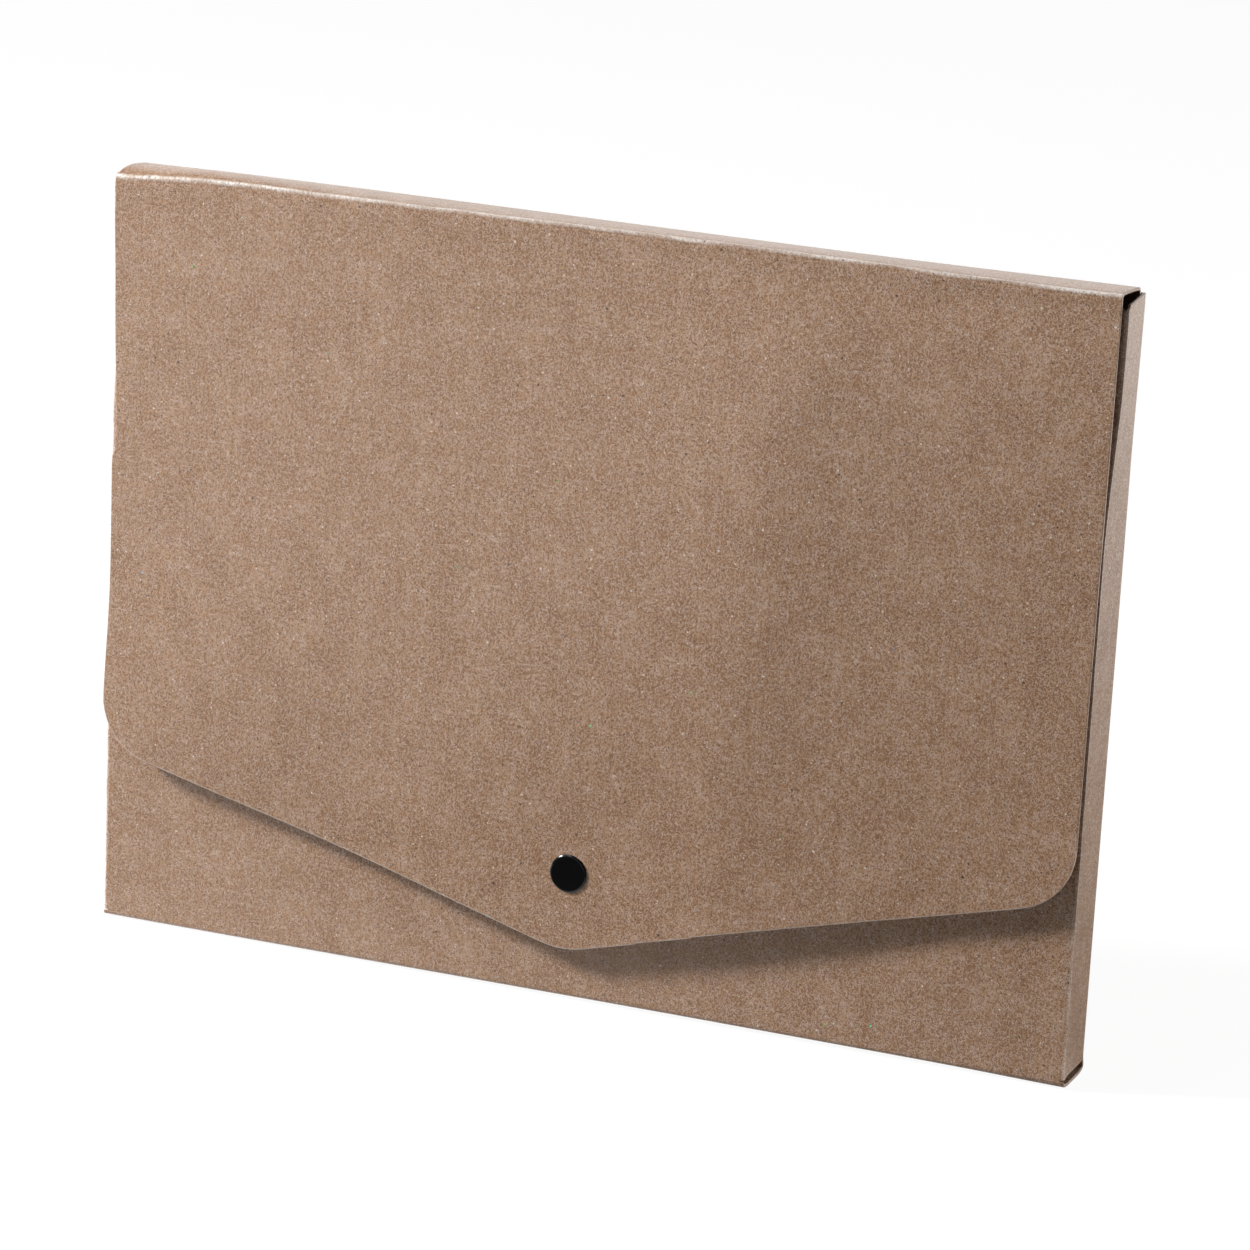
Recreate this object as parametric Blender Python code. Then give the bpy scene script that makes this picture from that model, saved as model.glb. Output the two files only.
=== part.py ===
"""A snap envelope folder: a standing pocket folded from kraft card, a lid strip that folds on the
rear crease, an envelope flap that folds on the front crease, and one pressed plastic snap.

Metres, +Z up, and the front faces -Y. The origin is the centre of the bottom panel's underside.
"""

import math

import bmesh
import bpy
from mathutils import Vector

MM = 0.001

# Card
CARD = 1.0 * MM
FOLD_INNER_RADIUS = 0.4 * MM
CREASE_INNER_RADIUS = 1.2 * MM
FOLD_GAP = 0.3 * MM

# Pocket
POCKET_WIDTH = 331.0 * MM
POCKET_DEPTH = 20.0 * MM
FOLDER_HEIGHT = 246.5 * MM
SHOULDER_DROP = 2.0 * MM
MOUTH_DROP = 3.0 * MM
SIDE_DROP = 1.5 * MM
BASE_SLIT = 0.8 * MM

# Glue tabs
TAB_WIDTH = 18.0 * MM
TAB_END_MARGIN = 6.0 * MM
TAB_TAPER = 8.0 * MM
GLUE_WIDTH = 8.0 * MM
GLUE_END_MARGIN = 12.0 * MM
GLUE_THICKNESS = 0.2 * MM
GLUE_SEAT = 0.05 * MM

# Lid and flap
LID_INSET = 1.0 * MM
FLAP_CLEARANCE = 0.8 * MM
FLAP_TIP_HEIGHT = 16.6 * MM
FLAP_POINT_RISE = 43.6 * MM
FLAP_CORNER_RADIUS = 21.0 * MM
FLAP_TIP_RADIUS = 28.0 * MM

# Snap
SNAP_ABOVE_TIP = 25.4 * MM
CAP_RADIUS = 6.25 * MM
CAP_HEIGHT = 1.4 * MM
CAP_RIM_ROUND = 0.7 * MM
BACKING_RADIUS = 5.5 * MM
BACKING_HEIGHT = 1.0 * MM
BACKING_RIM_ROUND = 0.4 * MM
POST_RADIUS = 1.3 * MM
POST_CLEARANCE = 0.2 * MM
RIVET_LIP = 0.6 * MM
RIVET_HEIGHT = 0.4 * MM
SOCKET_FLOOR = 0.7 * MM
SOCKET_WALL = 1.9 * MM
SOCKET_LEAD_IN = 0.4 * MM
STUD_FLANGE_RADIUS = 5.2 * MM
STUD_FLANGE_HEIGHT = 0.8 * MM
STUD_HEAD_HEIGHT = 1.3 * MM
STUD_WALL = 0.9 * MM
STUD_ROUND = 0.3 * MM
SNAP_CLEARANCE = 0.4 * MM
SNAP_END_CLEARANCE = 0.3 * MM
SEAT_GAP = 0.1 * MM
CUTTER_OVERRUN = 1.0 * MM

# Facets
FOLD_STEPS = 4
CREASE_STEPS = 8
CORNER_STEPS = 10
RIM_STEPS = 4
ROUND_SEGMENTS = 40
SHARP_ANGLE = math.radians(30)
WELD_DISTANCE = 1e-7

# Fold and crease radii at the card's outer face
FOLD_RADIUS = FOLD_INNER_RADIUS + CARD
CREASE_RADIUS = CREASE_INNER_RADIUS + CARD

# Faces of the pocket
FRONT_FACE = -POCKET_DEPTH / 2
BACK_FACE = POCKET_DEPTH / 2
SIDE_FACE = POCKET_WIDTH / 2
LID_SIDE = SIDE_FACE - LID_INSET
LID_UNDERSIDE = FOLDER_HEIGHT - CARD
FLAP_FACE = FRONT_FACE - FLAP_CLEARANCE - CARD
TAB_FACE = BACK_FACE - CARD - GLUE_THICKNESS - 2 * GLUE_SEAT

# Panel ends that stop just short of a fold
ABOVE_BASE_FOLD = FOLD_RADIUS + FOLD_GAP
BELOW_CREASE = FOLDER_HEIGHT - CREASE_RADIUS - FOLD_GAP
INSIDE_SIDE_FOLD = SIDE_FACE - FOLD_RADIUS - FOLD_GAP
SIDE_LOW = CARD + BASE_SLIT
SIDE_HIGH = LID_UNDERSIDE - SIDE_DROP
FRONT_HIGH = LID_UNDERSIDE - MOUTH_DROP

# A crease turns about the line that lets its middle layer lie flat at its own length
CREASE_AXIS_DEPTH = CREASE_RADIUS - math.pi / 4 * (CREASE_RADIUS - CARD / 2)
AXIS_HEIGHT = FOLDER_HEIGHT - CREASE_AXIS_DEPTH
LID_AXIS = Vector((0, BACK_FACE - CREASE_AXIS_DEPTH, AXIS_HEIGHT))
FLAP_AXIS = Vector((0, FLAP_FACE + CREASE_AXIS_DEPTH, AXIS_HEIGHT))

# Snap sizes that follow from the riveted posts
POST_HOLE_RADIUS = POST_RADIUS + POST_CLEARANCE
RIVET_RADIUS = POST_RADIUS + RIVET_LIP
RECESS_RADIUS = RIVET_RADIUS + POST_CLEARANCE
STUD_HEAD_RADIUS = RECESS_RADIUS + STUD_WALL
WELL_RADIUS = STUD_HEAD_RADIUS + SNAP_CLEARANCE
SOCKET_RADIUS = WELL_RADIUS + SOCKET_WALL
WELL_DEPTH = SEAT_GAP + RIVET_HEIGHT + SNAP_END_CLEARANCE + STUD_HEAD_HEIGHT - SNAP_CLEARANCE
SOCKET_HEIGHT = SOCKET_FLOOR + WELL_DEPTH
SNAP_STAND = (
    SEAT_GAP
    + SOCKET_HEIGHT
    + SNAP_CLEARANCE
    + STUD_FLANGE_HEIGHT
    + SEAT_GAP
)

# The snap holds the flap off the front panel, so the flap leans out a little from its crease
SNAP_DROP = AXIS_HEIGHT - FLAP_TIP_HEIGHT - SNAP_ABOVE_TIP
FLAP_LEAN = math.asin((SNAP_STAND - FLAP_CLEARANCE) / SNAP_DROP)
SNAP_HEIGHT = AXIS_HEIGHT - SNAP_DROP * math.cos(FLAP_LEAN) + SNAP_STAND * math.sin(FLAP_LEAN)

# Axis letters of each drawing plane, in order, and of the direction that it is extruded in
PLANES = {"XZ": (0, 2, 1), "YZ": (1, 2, 0), "XY": (0, 1, 2)}


def clear_scene():
    for old in list(bpy.data.objects):
        bpy.data.objects.remove(old, do_unlink=True)


def finish(name, colour, roughness):
    material = bpy.data.materials.new(name)
    material.use_nodes = True
    shader = material.node_tree.nodes["Principled BSDF"]
    shader.inputs["Base Color"].default_value = (*colour, 1.0)
    shader.inputs["Roughness"].default_value = roughness
    shader.inputs["Metallic"].default_value = 0.0
    return material


def pivot(name, point, lean=0.0, parent=None):
    """An empty on a crease's axis, which carries the pieces that turn about it."""
    empty = bpy.data.objects.new(name, None)
    bpy.context.collection.objects.link(empty)
    empty.parent = parent
    empty.location = point
    empty.rotation_euler.x = lean
    return empty


def place(mesh_data, name, material, parent):
    """Turns finished mesh data into a named piece, with its faces pointing out."""
    bmesh.ops.remove_doubles(mesh_data, verts=mesh_data.verts, dist=WELD_DISTANCE)
    bmesh.ops.recalc_face_normals(mesh_data, faces=mesh_data.faces)
    mesh = bpy.data.meshes.new(name)
    mesh_data.to_mesh(mesh)
    mesh_data.free()
    mesh.materials.append(material)
    piece = bpy.data.objects.new(name, mesh)
    bpy.context.collection.objects.link(piece)
    piece.parent = parent
    return piece


def arc(centre, radius, start, end, steps):
    """Points on an arc, from the start angle to the end angle in radians."""
    angles = [start + (end - start) * step / steps for step in range(steps + 1)]
    return [(centre[0] + radius * math.cos(a), centre[1] + radius * math.sin(a)) for a in angles]


def bend(centre, start, end, steps, outer, inner):
    """The outline of card bent round a centre: out along its outer face, back along its inner."""
    outside = arc(centre, outer, start, end, steps)
    inside = arc(centre, inner, end, start, steps)
    return outside, inside


def rounded(corners, steps):
    """A closed outline through (x, y, radius) corners, each with its round where it has one."""
    outline = []
    for index, (x, y, radius) in enumerate(corners):
        here = Vector((x, y))
        if radius == 0:
            outline.append((x, y))
            continue
        before = (Vector(corners[index - 1][:2]) - here).normalized()
        after = (Vector(corners[(index + 1) % len(corners)][:2]) - here).normalized()
        half = before.angle(after) / 2
        middle = here + (before + after).normalized() * (radius / math.sin(half))
        start = here + before * (radius / math.tan(half)) - middle
        end = here + after * (radius / math.tan(half)) - middle
        turn = start.angle_signed(end)
        first = math.atan2(start.y, start.x)
        outline += arc(middle, radius, first, first - turn, steps)
    return outline


def sheet(name, outline, plane, low, high, material, parent=None):
    """A piece of card: an outline in one plane, extruded through from low to high."""
    across, up, through = PLANES[plane]
    mesh_data = bmesh.new()
    corners = []
    for point in outline:
        corner = [0.0, 0.0, 0.0]
        corner[across] = point[0]
        corner[up] = point[1]
        corner[through] = low
        corners.append(mesh_data.verts.new(corner))
    face = mesh_data.faces.new(corners)
    raised = bmesh.ops.extrude_face_region(mesh_data, geom=[face])
    shift = Vector((0, 0, 0))
    shift[through] = high - low
    moved = [item for item in raised["geom"] if isinstance(item, bmesh.types.BMVert)]
    bmesh.ops.translate(mesh_data, verts=moved, vec=shift)
    return place(mesh_data, name, material, parent)


def turned(name, profile, material, parent=None):
    """A round piece: a closed profile of (radius, height) points, spun about its own +Z."""
    mesh_data = bmesh.new()
    verts = [mesh_data.verts.new((radius, 0, height)) for radius, height in profile]
    edges = [mesh_data.edges.new((a, b)) for a, b in zip(verts, verts[1:])]
    if profile[0][0] > 0:
        edges.append(mesh_data.edges.new((verts[-1], verts[0])))
    bmesh.ops.spin(
        mesh_data,
        geom=verts + edges,
        cent=(0, 0, 0),
        axis=(0, 0, 1),
        angle=2 * math.pi,
        steps=ROUND_SEGMENTS,
        use_merge=True,
    )
    piece = place(mesh_data, name, material, parent)
    piece.data.shade_smooth()
    piece.data.set_sharp_from_angle(angle=SHARP_ANGLE)
    return piece


def post_hole(target, point, parent=None):
    """Cuts the hole that a snap's post passes through, square to the card."""
    mesh_data = bmesh.new()
    bmesh.ops.create_cone(
        mesh_data,
        cap_ends=True,
        segments=ROUND_SEGMENTS,
        radius1=POST_HOLE_RADIUS,
        radius2=POST_HOLE_RADIUS,
        depth=CARD + 2 * CUTTER_OVERRUN,
    )
    cutter = place(mesh_data, target.name + "_hole_cutter", target.data.materials[0], parent)
    cutter.location = point
    cutter.rotation_euler.x = math.pi / 2
    cutter.hide_render = True
    cutter.display_type = "WIRE"
    cut = target.modifiers.new("post_hole", "BOOLEAN")
    cut.operation = "DIFFERENCE"
    cut.solver = "EXACT"
    cut.object = cutter


def back_panel(card):
    shoulder = BELOW_CREASE - SHOULDER_DROP
    half = [
        (SIDE_FACE, ABOVE_BASE_FOLD),
        (SIDE_FACE, shoulder),
        (LID_SIDE, BELOW_CREASE),
    ]
    outline = half + [(-x, z) for x, z in reversed(half)]
    sheet("back_panel", outline, "XZ", BACK_FACE - CARD, BACK_FACE, card)


def bottom_panel(card):
    """The base strip, with the rounded folds that turn up into the front and the back."""
    front = (FRONT_FACE + FOLD_RADIUS, FOLD_RADIUS)
    back = (BACK_FACE - FOLD_RADIUS, FOLD_RADIUS)
    down = -math.pi / 2
    front_out, front_in = bend(front, -math.pi, down, FOLD_STEPS, FOLD_RADIUS, FOLD_INNER_RADIUS)
    back_out, back_in = bend(back, down, 0, FOLD_STEPS, FOLD_RADIUS, FOLD_INNER_RADIUS)
    outline = front_out + back_out + back_in + front_in
    sheet("bottom_panel", outline, "YZ", -SIDE_FACE, SIDE_FACE, card)


def front_panel(card):
    low, high = ABOVE_BASE_FOLD, FRONT_HIGH
    side = INSIDE_SIDE_FOLD
    outline = [(-side, low), (side, low), (side, high), (-side, high)]
    panel = sheet("front_panel", outline, "XZ", FRONT_FACE, FRONT_FACE + CARD, card)
    post_hole(panel, (0, FRONT_FACE + CARD / 2, SNAP_HEIGHT))


def side_panel(name, side, card):
    """An end wall, with the folds that join it to the front panel and to its glue tab."""
    fold_x = SIDE_FACE - FOLD_RADIUS
    front = (fold_x, FRONT_FACE + FOLD_RADIUS)
    rear = (fold_x, TAB_FACE - FOLD_RADIUS)
    up = math.pi / 2
    front_out, front_in = bend(front, -up, 0, FOLD_STEPS, FOLD_RADIUS, FOLD_INNER_RADIUS)
    rear_out, rear_in = bend(rear, 0, up, FOLD_STEPS, FOLD_RADIUS, FOLD_INNER_RADIUS)
    outline = front_out + rear_out + rear_in + front_in
    outline = [(side * x, y) for x, y in outline]
    sheet(name, outline, "XY", SIDE_LOW, SIDE_HIGH, card)


def glue_tab(name, side, card):
    """The tapered tab that turns in from an end wall and lies against the back panel."""
    root_x = INSIDE_SIDE_FOLD
    tip_x = root_x - TAB_WIDTH
    low = SIDE_LOW + TAB_END_MARGIN
    high = SIDE_HIGH - TAB_END_MARGIN
    outline = [
        (root_x, low),
        (root_x, high),
        (tip_x, high - TAB_TAPER),
        (tip_x, low + TAB_TAPER),
    ]
    outline = [(side * x, z) for x, z in outline]
    sheet(name, outline, "XZ", TAB_FACE - CARD, TAB_FACE, card)


def glue_line(name, side, glue):
    """A bead of glue down the middle of a tab, between the tab and the back panel."""
    middle = INSIDE_SIDE_FOLD - TAB_WIDTH / 2
    near, far = side * (middle - GLUE_WIDTH / 2), side * (middle + GLUE_WIDTH / 2)
    low = SIDE_LOW + TAB_END_MARGIN + GLUE_END_MARGIN
    high = SIDE_HIGH - TAB_END_MARGIN - GLUE_END_MARGIN
    outline = [(near, low), (far, low), (far, high), (near, high)]
    start = TAB_FACE + GLUE_SEAT
    sheet(name, outline, "XZ", start, start + GLUE_THICKNESS, glue)


def crease(name, axis, start, end, card, parent):
    """A living hinge: the strip of card that bends between two panels along the top."""
    inset = CREASE_RADIUS - CREASE_AXIS_DEPTH
    centre = (math.copysign(inset, -axis.y), -inset)
    outside, inside = bend(centre, start, end, CREASE_STEPS, CREASE_RADIUS, CREASE_INNER_RADIUS)
    return sheet(name, outside + inside, "YZ", -LID_SIDE, LID_SIDE, card, parent)


def lid_panel(card, lid):
    """The top strip, from the rear crease forward to the flap's crease."""
    near = FLAP_FACE + CREASE_RADIUS + FOLD_GAP - LID_AXIS.y
    far = BACK_FACE - CREASE_RADIUS - FOLD_GAP - LID_AXIS.y
    outline = [(-LID_SIDE, near), (LID_SIDE, near), (LID_SIDE, far), (-LID_SIDE, far)]
    top = CREASE_AXIS_DEPTH
    sheet("lid_panel", outline, "XY", top - CARD, top, card, lid)


def closing_flap(card, flap):
    """The envelope flap: full width at the crease, with round corners and a blunt point."""
    top = BELOW_CREASE - AXIS_HEIGHT
    tip = FLAP_TIP_HEIGHT - AXIS_HEIGHT
    corner = tip + FLAP_POINT_RISE
    corners = [
        (LID_SIDE, top, 0),
        (LID_SIDE, corner, FLAP_CORNER_RADIUS),
        (0, tip, FLAP_TIP_RADIUS),
        (-LID_SIDE, corner, FLAP_CORNER_RADIUS),
        (-LID_SIDE, top, 0),
    ]
    face = -CREASE_AXIS_DEPTH
    outline = rounded(corners, CORNER_STEPS)
    panel = sheet("closing_flap", outline, "XZ", face, face + CARD, card, flap)
    post_hole(panel, (0, face + CARD / 2, -SNAP_DROP), flap)


def riveted_disc(name, radius, height, rim_round, grip, plastic, parent=None):
    """A snap's disc and its post, whose end is pressed flat over what it grips."""
    head = SEAT_GAP + grip + SEAT_GAP
    rim_centre = (radius - rim_round, rim_round - height)
    rim = arc(rim_centre, rim_round, -math.pi / 2, 0, RIM_STEPS)
    profile = [
        (0, -height),
        *rim,
        (radius, 0),
        (POST_RADIUS, 0),
        (POST_RADIUS, head),
        (RIVET_RADIUS, head),
        (RIVET_RADIUS, head + RIVET_HEIGHT),
        (0, head + RIVET_HEIGHT),
    ]
    return turned(name, profile, plastic, parent)


def snap_socket(plastic, parent):
    """The ring behind the flap, with a well that the stud's head enters."""
    profile = [
        (POST_HOLE_RADIUS, 0),
        (SOCKET_RADIUS, 0),
        (SOCKET_RADIUS, SOCKET_HEIGHT - SOCKET_LEAD_IN),
        (SOCKET_RADIUS - SOCKET_LEAD_IN, SOCKET_HEIGHT),
        (WELL_RADIUS + SOCKET_LEAD_IN, SOCKET_HEIGHT),
        (WELL_RADIUS, SOCKET_HEIGHT - SOCKET_LEAD_IN),
        (WELL_RADIUS, SOCKET_FLOOR),
        (POST_HOLE_RADIUS, SOCKET_FLOOR),
    ]
    return turned("snap_socket", profile, plastic, parent)


def snap_stud(plastic):
    """The stud on the front panel, with a recess in its head for the flattened post."""
    top = STUD_FLANGE_HEIGHT + STUD_HEAD_HEIGHT
    profile = [
        (POST_HOLE_RADIUS, 0),
        (STUD_FLANGE_RADIUS, 0),
        (STUD_FLANGE_RADIUS, STUD_FLANGE_HEIGHT),
        (STUD_HEAD_RADIUS - STUD_ROUND, STUD_FLANGE_HEIGHT),
        (STUD_HEAD_RADIUS, top - 2 * STUD_ROUND),
        (STUD_HEAD_RADIUS, top - STUD_ROUND),
        (STUD_HEAD_RADIUS - STUD_ROUND, top),
        (RECESS_RADIUS, top),
        (RECESS_RADIUS, STUD_FLANGE_HEIGHT),
        (POST_HOLE_RADIUS, STUD_FLANGE_HEIGHT),
    ]
    return turned("snap_stud", profile, plastic)


def snap(plastic, flap):
    """Cap and socket ride on the flap, stud and backing disc on the front panel."""
    cap_grip = CARD + SEAT_GAP + SOCKET_FLOOR
    cap = riveted_disc(
        "snap_cap", CAP_RADIUS, CAP_HEIGHT, CAP_RIM_ROUND, cap_grip, plastic, flap
    )
    cap.location = (0, -CREASE_AXIS_DEPTH - SEAT_GAP, -SNAP_DROP)
    cap.rotation_euler.x = -math.pi / 2
    socket = snap_socket(plastic, flap)
    socket.location = (0, CARD - CREASE_AXIS_DEPTH + SEAT_GAP, -SNAP_DROP)
    socket.rotation_euler.x = -math.pi / 2
    stud = snap_stud(plastic)
    stud.location = (0, FRONT_FACE - SEAT_GAP, SNAP_HEIGHT)
    stud.rotation_euler.x = math.pi / 2
    backing_grip = CARD + SEAT_GAP + STUD_FLANGE_HEIGHT
    backing = riveted_disc(
        "snap_backing", BACKING_RADIUS, BACKING_HEIGHT, BACKING_RIM_ROUND, backing_grip, plastic
    )
    backing.location = (0, FRONT_FACE + CARD + SEAT_GAP, SNAP_HEIGHT)
    backing.rotation_euler.x = math.pi / 2


def main():
    clear_scene()
    card = finish("kraft_card", (0.37, 0.26, 0.185), 0.9)
    glue = finish("dried_glue", (0.62, 0.56, 0.44), 0.5)
    plastic = finish("black_plastic", (0.012, 0.012, 0.014), 0.22)
    lid = pivot("lid_axis", LID_AXIS)
    flap = pivot("flap_axis", FLAP_AXIS - LID_AXIS, -FLAP_LEAN, lid)
    back_panel(card)
    bottom_panel(card)
    front_panel(card)
    for hand, side in (("left", -1), ("right", 1)):
        side_panel(hand + "_side_panel", side, card)
        glue_tab(hand + "_glue_tab", side, card)
        glue_line(hand + "_glue_line", side, glue)
    quarter = math.pi / 2
    crease("lid_crease", LID_AXIS, 0, quarter, card, lid)
    lid_panel(card, lid)
    strip = crease("flap_crease", FLAP_AXIS, quarter, 2 * quarter - FLAP_LEAN, card, lid)
    strip.location = FLAP_AXIS - LID_AXIS
    closing_flap(card, flap)
    snap(plastic, flap)


main()
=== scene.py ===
# %% [markdown]
# # A snap envelope folder
# This lesson dresses a document folder of recycled kraft card. On the real thing one die-cut blank is
# folded into a slim pocket, a lid strip and a pointed flap, and one black plastic snap keeps it shut.
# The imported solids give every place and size, so the first step is to load them and keep their box.

# %% Load the frame
import math

import bmesh
import bpy
import numpy as np
from mathutils import Matrix, Vector


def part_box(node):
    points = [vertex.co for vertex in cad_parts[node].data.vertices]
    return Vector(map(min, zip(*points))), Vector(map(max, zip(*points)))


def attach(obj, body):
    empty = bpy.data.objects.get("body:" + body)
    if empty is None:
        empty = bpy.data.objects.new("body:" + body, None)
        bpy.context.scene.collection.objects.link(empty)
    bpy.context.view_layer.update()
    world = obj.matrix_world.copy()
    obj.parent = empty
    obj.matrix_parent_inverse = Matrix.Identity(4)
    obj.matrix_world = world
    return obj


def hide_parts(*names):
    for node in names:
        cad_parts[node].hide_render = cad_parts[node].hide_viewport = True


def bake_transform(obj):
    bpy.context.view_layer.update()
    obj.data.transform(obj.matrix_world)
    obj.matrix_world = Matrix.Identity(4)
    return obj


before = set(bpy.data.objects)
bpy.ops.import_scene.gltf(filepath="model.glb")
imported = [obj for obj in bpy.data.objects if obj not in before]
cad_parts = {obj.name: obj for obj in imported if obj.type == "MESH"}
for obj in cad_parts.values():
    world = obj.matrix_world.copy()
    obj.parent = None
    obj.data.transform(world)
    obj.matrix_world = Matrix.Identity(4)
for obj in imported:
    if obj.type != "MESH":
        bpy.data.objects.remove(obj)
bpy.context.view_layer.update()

# %% [markdown]
# ## Sizes
# A card folder is described by a few lines: its outer faces, where the folds begin and how thick the
# card is. They could be typed in again, but reading them from the solids keeps both models together.

# %% Read the sizes from the solids
MM = 0.001
QUARTER = math.pi / 2

base_low, base_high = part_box("bottom_panel")
lid_low, lid_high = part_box("lid_panel")
wall_low, wall_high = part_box("right_side_panel")
tab_low, tab_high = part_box("right_glue_tab")
hinge_low, hinge_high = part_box("lid_crease")
stud_low, stud_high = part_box("snap_stud")
cap_low, cap_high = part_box("snap_cap")

SIDE = base_high.x
FRONT = base_low.y
BACK = base_high.y
TOP = lid_high.z
CARD = lid_high.z - lid_low.z
LID_SIDE = lid_high.x
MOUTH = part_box("front_panel")[1].z
FLAP_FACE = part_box("flap_crease")[0].y
FLAP_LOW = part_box("closing_flap")[0].z
CREASE = hinge_high.z - hinge_low.z
FOLD = SIDE - wall_low.x
WALL_LOW = wall_low.z
WALL_HIGH = wall_high.z
TAB_FACE = tab_high.y
STUD_HEIGHT = (stud_low.z + stud_high.z) / 2
CAP_HEIGHT = (cap_low.z + cap_high.z) / 2
LOOKS_FORWARD = -0.9
flap_faces = [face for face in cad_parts["closing_flap"].data.polygons if face.normal.y < LOOKS_FORWARD]
FLAP_LEAN = math.asin(max(flap_faces, key=lambda face: face.area).normal.z)
print("card %.2f mm, pocket %.1f mm wide" % (CARD / MM, 2 * SIDE / MM))
print("flap leans %.2f degrees" % math.degrees(FLAP_LEAN))

# %% [markdown]
# ## The camera
# The folder is seen from its right, a little from above, through a long lens. The height, turn and
# tilt follow from the photograph's straight edges, so the camera is placed by those angles.

# %% Camera
CAMERA_PLACE = Vector((510.2, -1290.1, 501.5)) * MM
CAMERA_TURN = math.radians(21.183)
CAMERA_TILT = math.radians(15.358)
CAMERA_ROLL = math.radians(2.775)
CAMERA_LENS = 132.48

level = math.cos(CAMERA_TILT)
sight = Vector((-math.sin(CAMERA_TURN) * level, math.cos(CAMERA_TURN) * level, -math.sin(CAMERA_TILT)))
camera = bpy.data.objects.new("camera", bpy.data.cameras.new("camera"))
camera.data.lens = CAMERA_LENS
aim = sight.to_track_quat("-Z", "Y").to_matrix() @ Matrix.Rotation(CAMERA_ROLL, 3, "Z")
camera.matrix_world = Matrix.Translation(CAMERA_PLACE) @ aim.to_4x4()
bpy.context.scene.collection.objects.link(camera)
bpy.context.scene.camera = camera
print("camera looks along", [round(a, 3) for a in sight])

# %% [markdown]
# ## Writing node trees as sums
# A finish is easier to read as `light * mask + dark` than as a page of links. A Wire holds one socket,
# and each operator on it adds a Math node. Every other node comes from the bench's one method, which
# serves the shader trees here and the geometry trees further down.


# %% Nodes as Python sums
class Wire:
    """One output socket that can be added, multiplied and compared in Python."""

    def __init__(self, bench, socket):
        self.bench = bench
        self.socket = socket

    def math(self, operation, *others):
        values = dict(enumerate((self, *others)))
        return self.bench.add("ShaderNodeMath", {"operation": operation}, values)

    def vector(self, operation, other):
        values = {0: self, ("Scale" if operation == "SCALE" else 1): other}
        return self.bench.add("ShaderNodeVectorMath", {"operation": operation}, values)

    def parts(self):
        return self.bench.add("ShaderNodeSeparateXYZ", {}, {0: self}, (0, 1, 2))

    def clamped(self):
        return self.bench.add("ShaderNodeClamp", {}, {"Value": self})

    def __add__(self, other):
        return self.math("ADD", other)

    def __mul__(self, other):
        return self.math("MULTIPLY", other)

    def __sub__(self, other):
        return self.math("SUBTRACT", other)

    def __truediv__(self, other):
        return self.math("DIVIDE", other)

    def __rsub__(self, other):
        return self.math("MULTIPLY_ADD", -1.0, other)

    def __abs__(self):
        return self.math("ABSOLUTE")

    __radd__ = __add__
    __rmul__ = __mul__


class Bench:
    """A node tree under construction."""

    def __init__(self, tree):
        self.tree = tree
        tree.nodes.clear()

    def add(self, kind, settings, sockets, out=0):
        """A new node, as a wire from the socket named in out, or one wire each where out names several."""
        node = self.tree.nodes.new(kind)
        for name, value in settings.items():
            setattr(node, name, value)
        for key, value in sockets.items():
            if isinstance(value, Wire):
                self.tree.links.new(value.socket, node.inputs[key])
            else:
                node.inputs[key].default_value = value
        if isinstance(out, tuple):
            return [Wire(self, node.outputs[name]) for name in out]
        return Wire(self, node.outputs[out]) if node.outputs else node


# %% [markdown]
# Every finish ends the same way: a Principled shader whose steady values sit on its own sockets.
# The helpers below name what the finishes share: a grain, a mix of two colours and a soft threshold.


# %% Helpers that the finishes share
def new_finish(name):
    material = bpy.data.materials.new(name)
    material.use_nodes = True
    return material, Bench(material.node_tree)


def surface(bench, sockets):
    shader = bench.add("ShaderNodeBsdfPrincipled", {}, sockets)
    bench.add("ShaderNodeOutputMaterial", {}, {"Surface": shader})


def grain(bench, place, pitch, detail=2.0, out=0):
    """Noise whose bumps have about the given pitch along each of the three directions."""
    scaled = place.vector("MULTIPLY", tuple(1.0 / p for p in pitch))
    return bench.add("ShaderNodeTexNoise", {}, {"Vector": scaled, "Scale": 1.0, "Detail": detail}, out)


def mixed(bench, share, first, second):
    return bench.add("ShaderNodeMix", {"data_type": "RGBA"}, {0: share, 6: first, 7: second}, 2)


def soft_step(bench, value, low, high):
    """0 at low and 1 at high, also where low is the larger of the two."""
    sockets = {"Value": value, "From Min": low, "From Max": high}
    return bench.add("ShaderNodeMapRange", {"interpolation_type": "SMOOTHSTEP"}, sockets)


def scattered(bench, place, spacing, shift):
    """Cells of about that spacing on the flat blank: the way from each cell's middle and three dice."""
    moved = place.vector("ADD", (shift, shift, 0.0)).vector("SCALE", 1.0 / spacing)
    settings = {"voronoi_dimensions": "2D", "feature": "F1"}
    sockets = {"Vector": moved, "Scale": 1.0}
    middle, dice = bench.add("ShaderNodeTexVoronoi", settings, sockets, ("Position", "Color"))
    away = moved.vector("SUBTRACT", middle).vector("SCALE", spacing)
    return away.parts(), dice.parts(), dice


# %% [markdown]
# ## Kraft card
# Recycled kraft is pulp: short curly fibres in two tones, slow clouds where the pulp lay thicker, faint
# streaks along the machine's run, and a scatter of dark, white and rarely coloured specks. A photo
# texture would show all that once; noise on the blank's unfolded place runs on over every fold and
# stays with the card when it bends. `blank` is that place and `cut` marks the knife's edge. A third mark
# holds the pale, rubbed crests of the creases and the pale line along the flap's lower edge; on the front
# crease and along that edge the pale is also a painted highlight. Each is stored on the card's points
# further down.

# %% Specks and hairs in the pulp
PER_MM = 1.0 / MM
SPECK_LEAST = 0.6
SPECK_SPREAD = 0.8
SPECK_BLUR = 0.3
HAIR_CORE = 0.2
HAIR_BODY = 0.6


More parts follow.
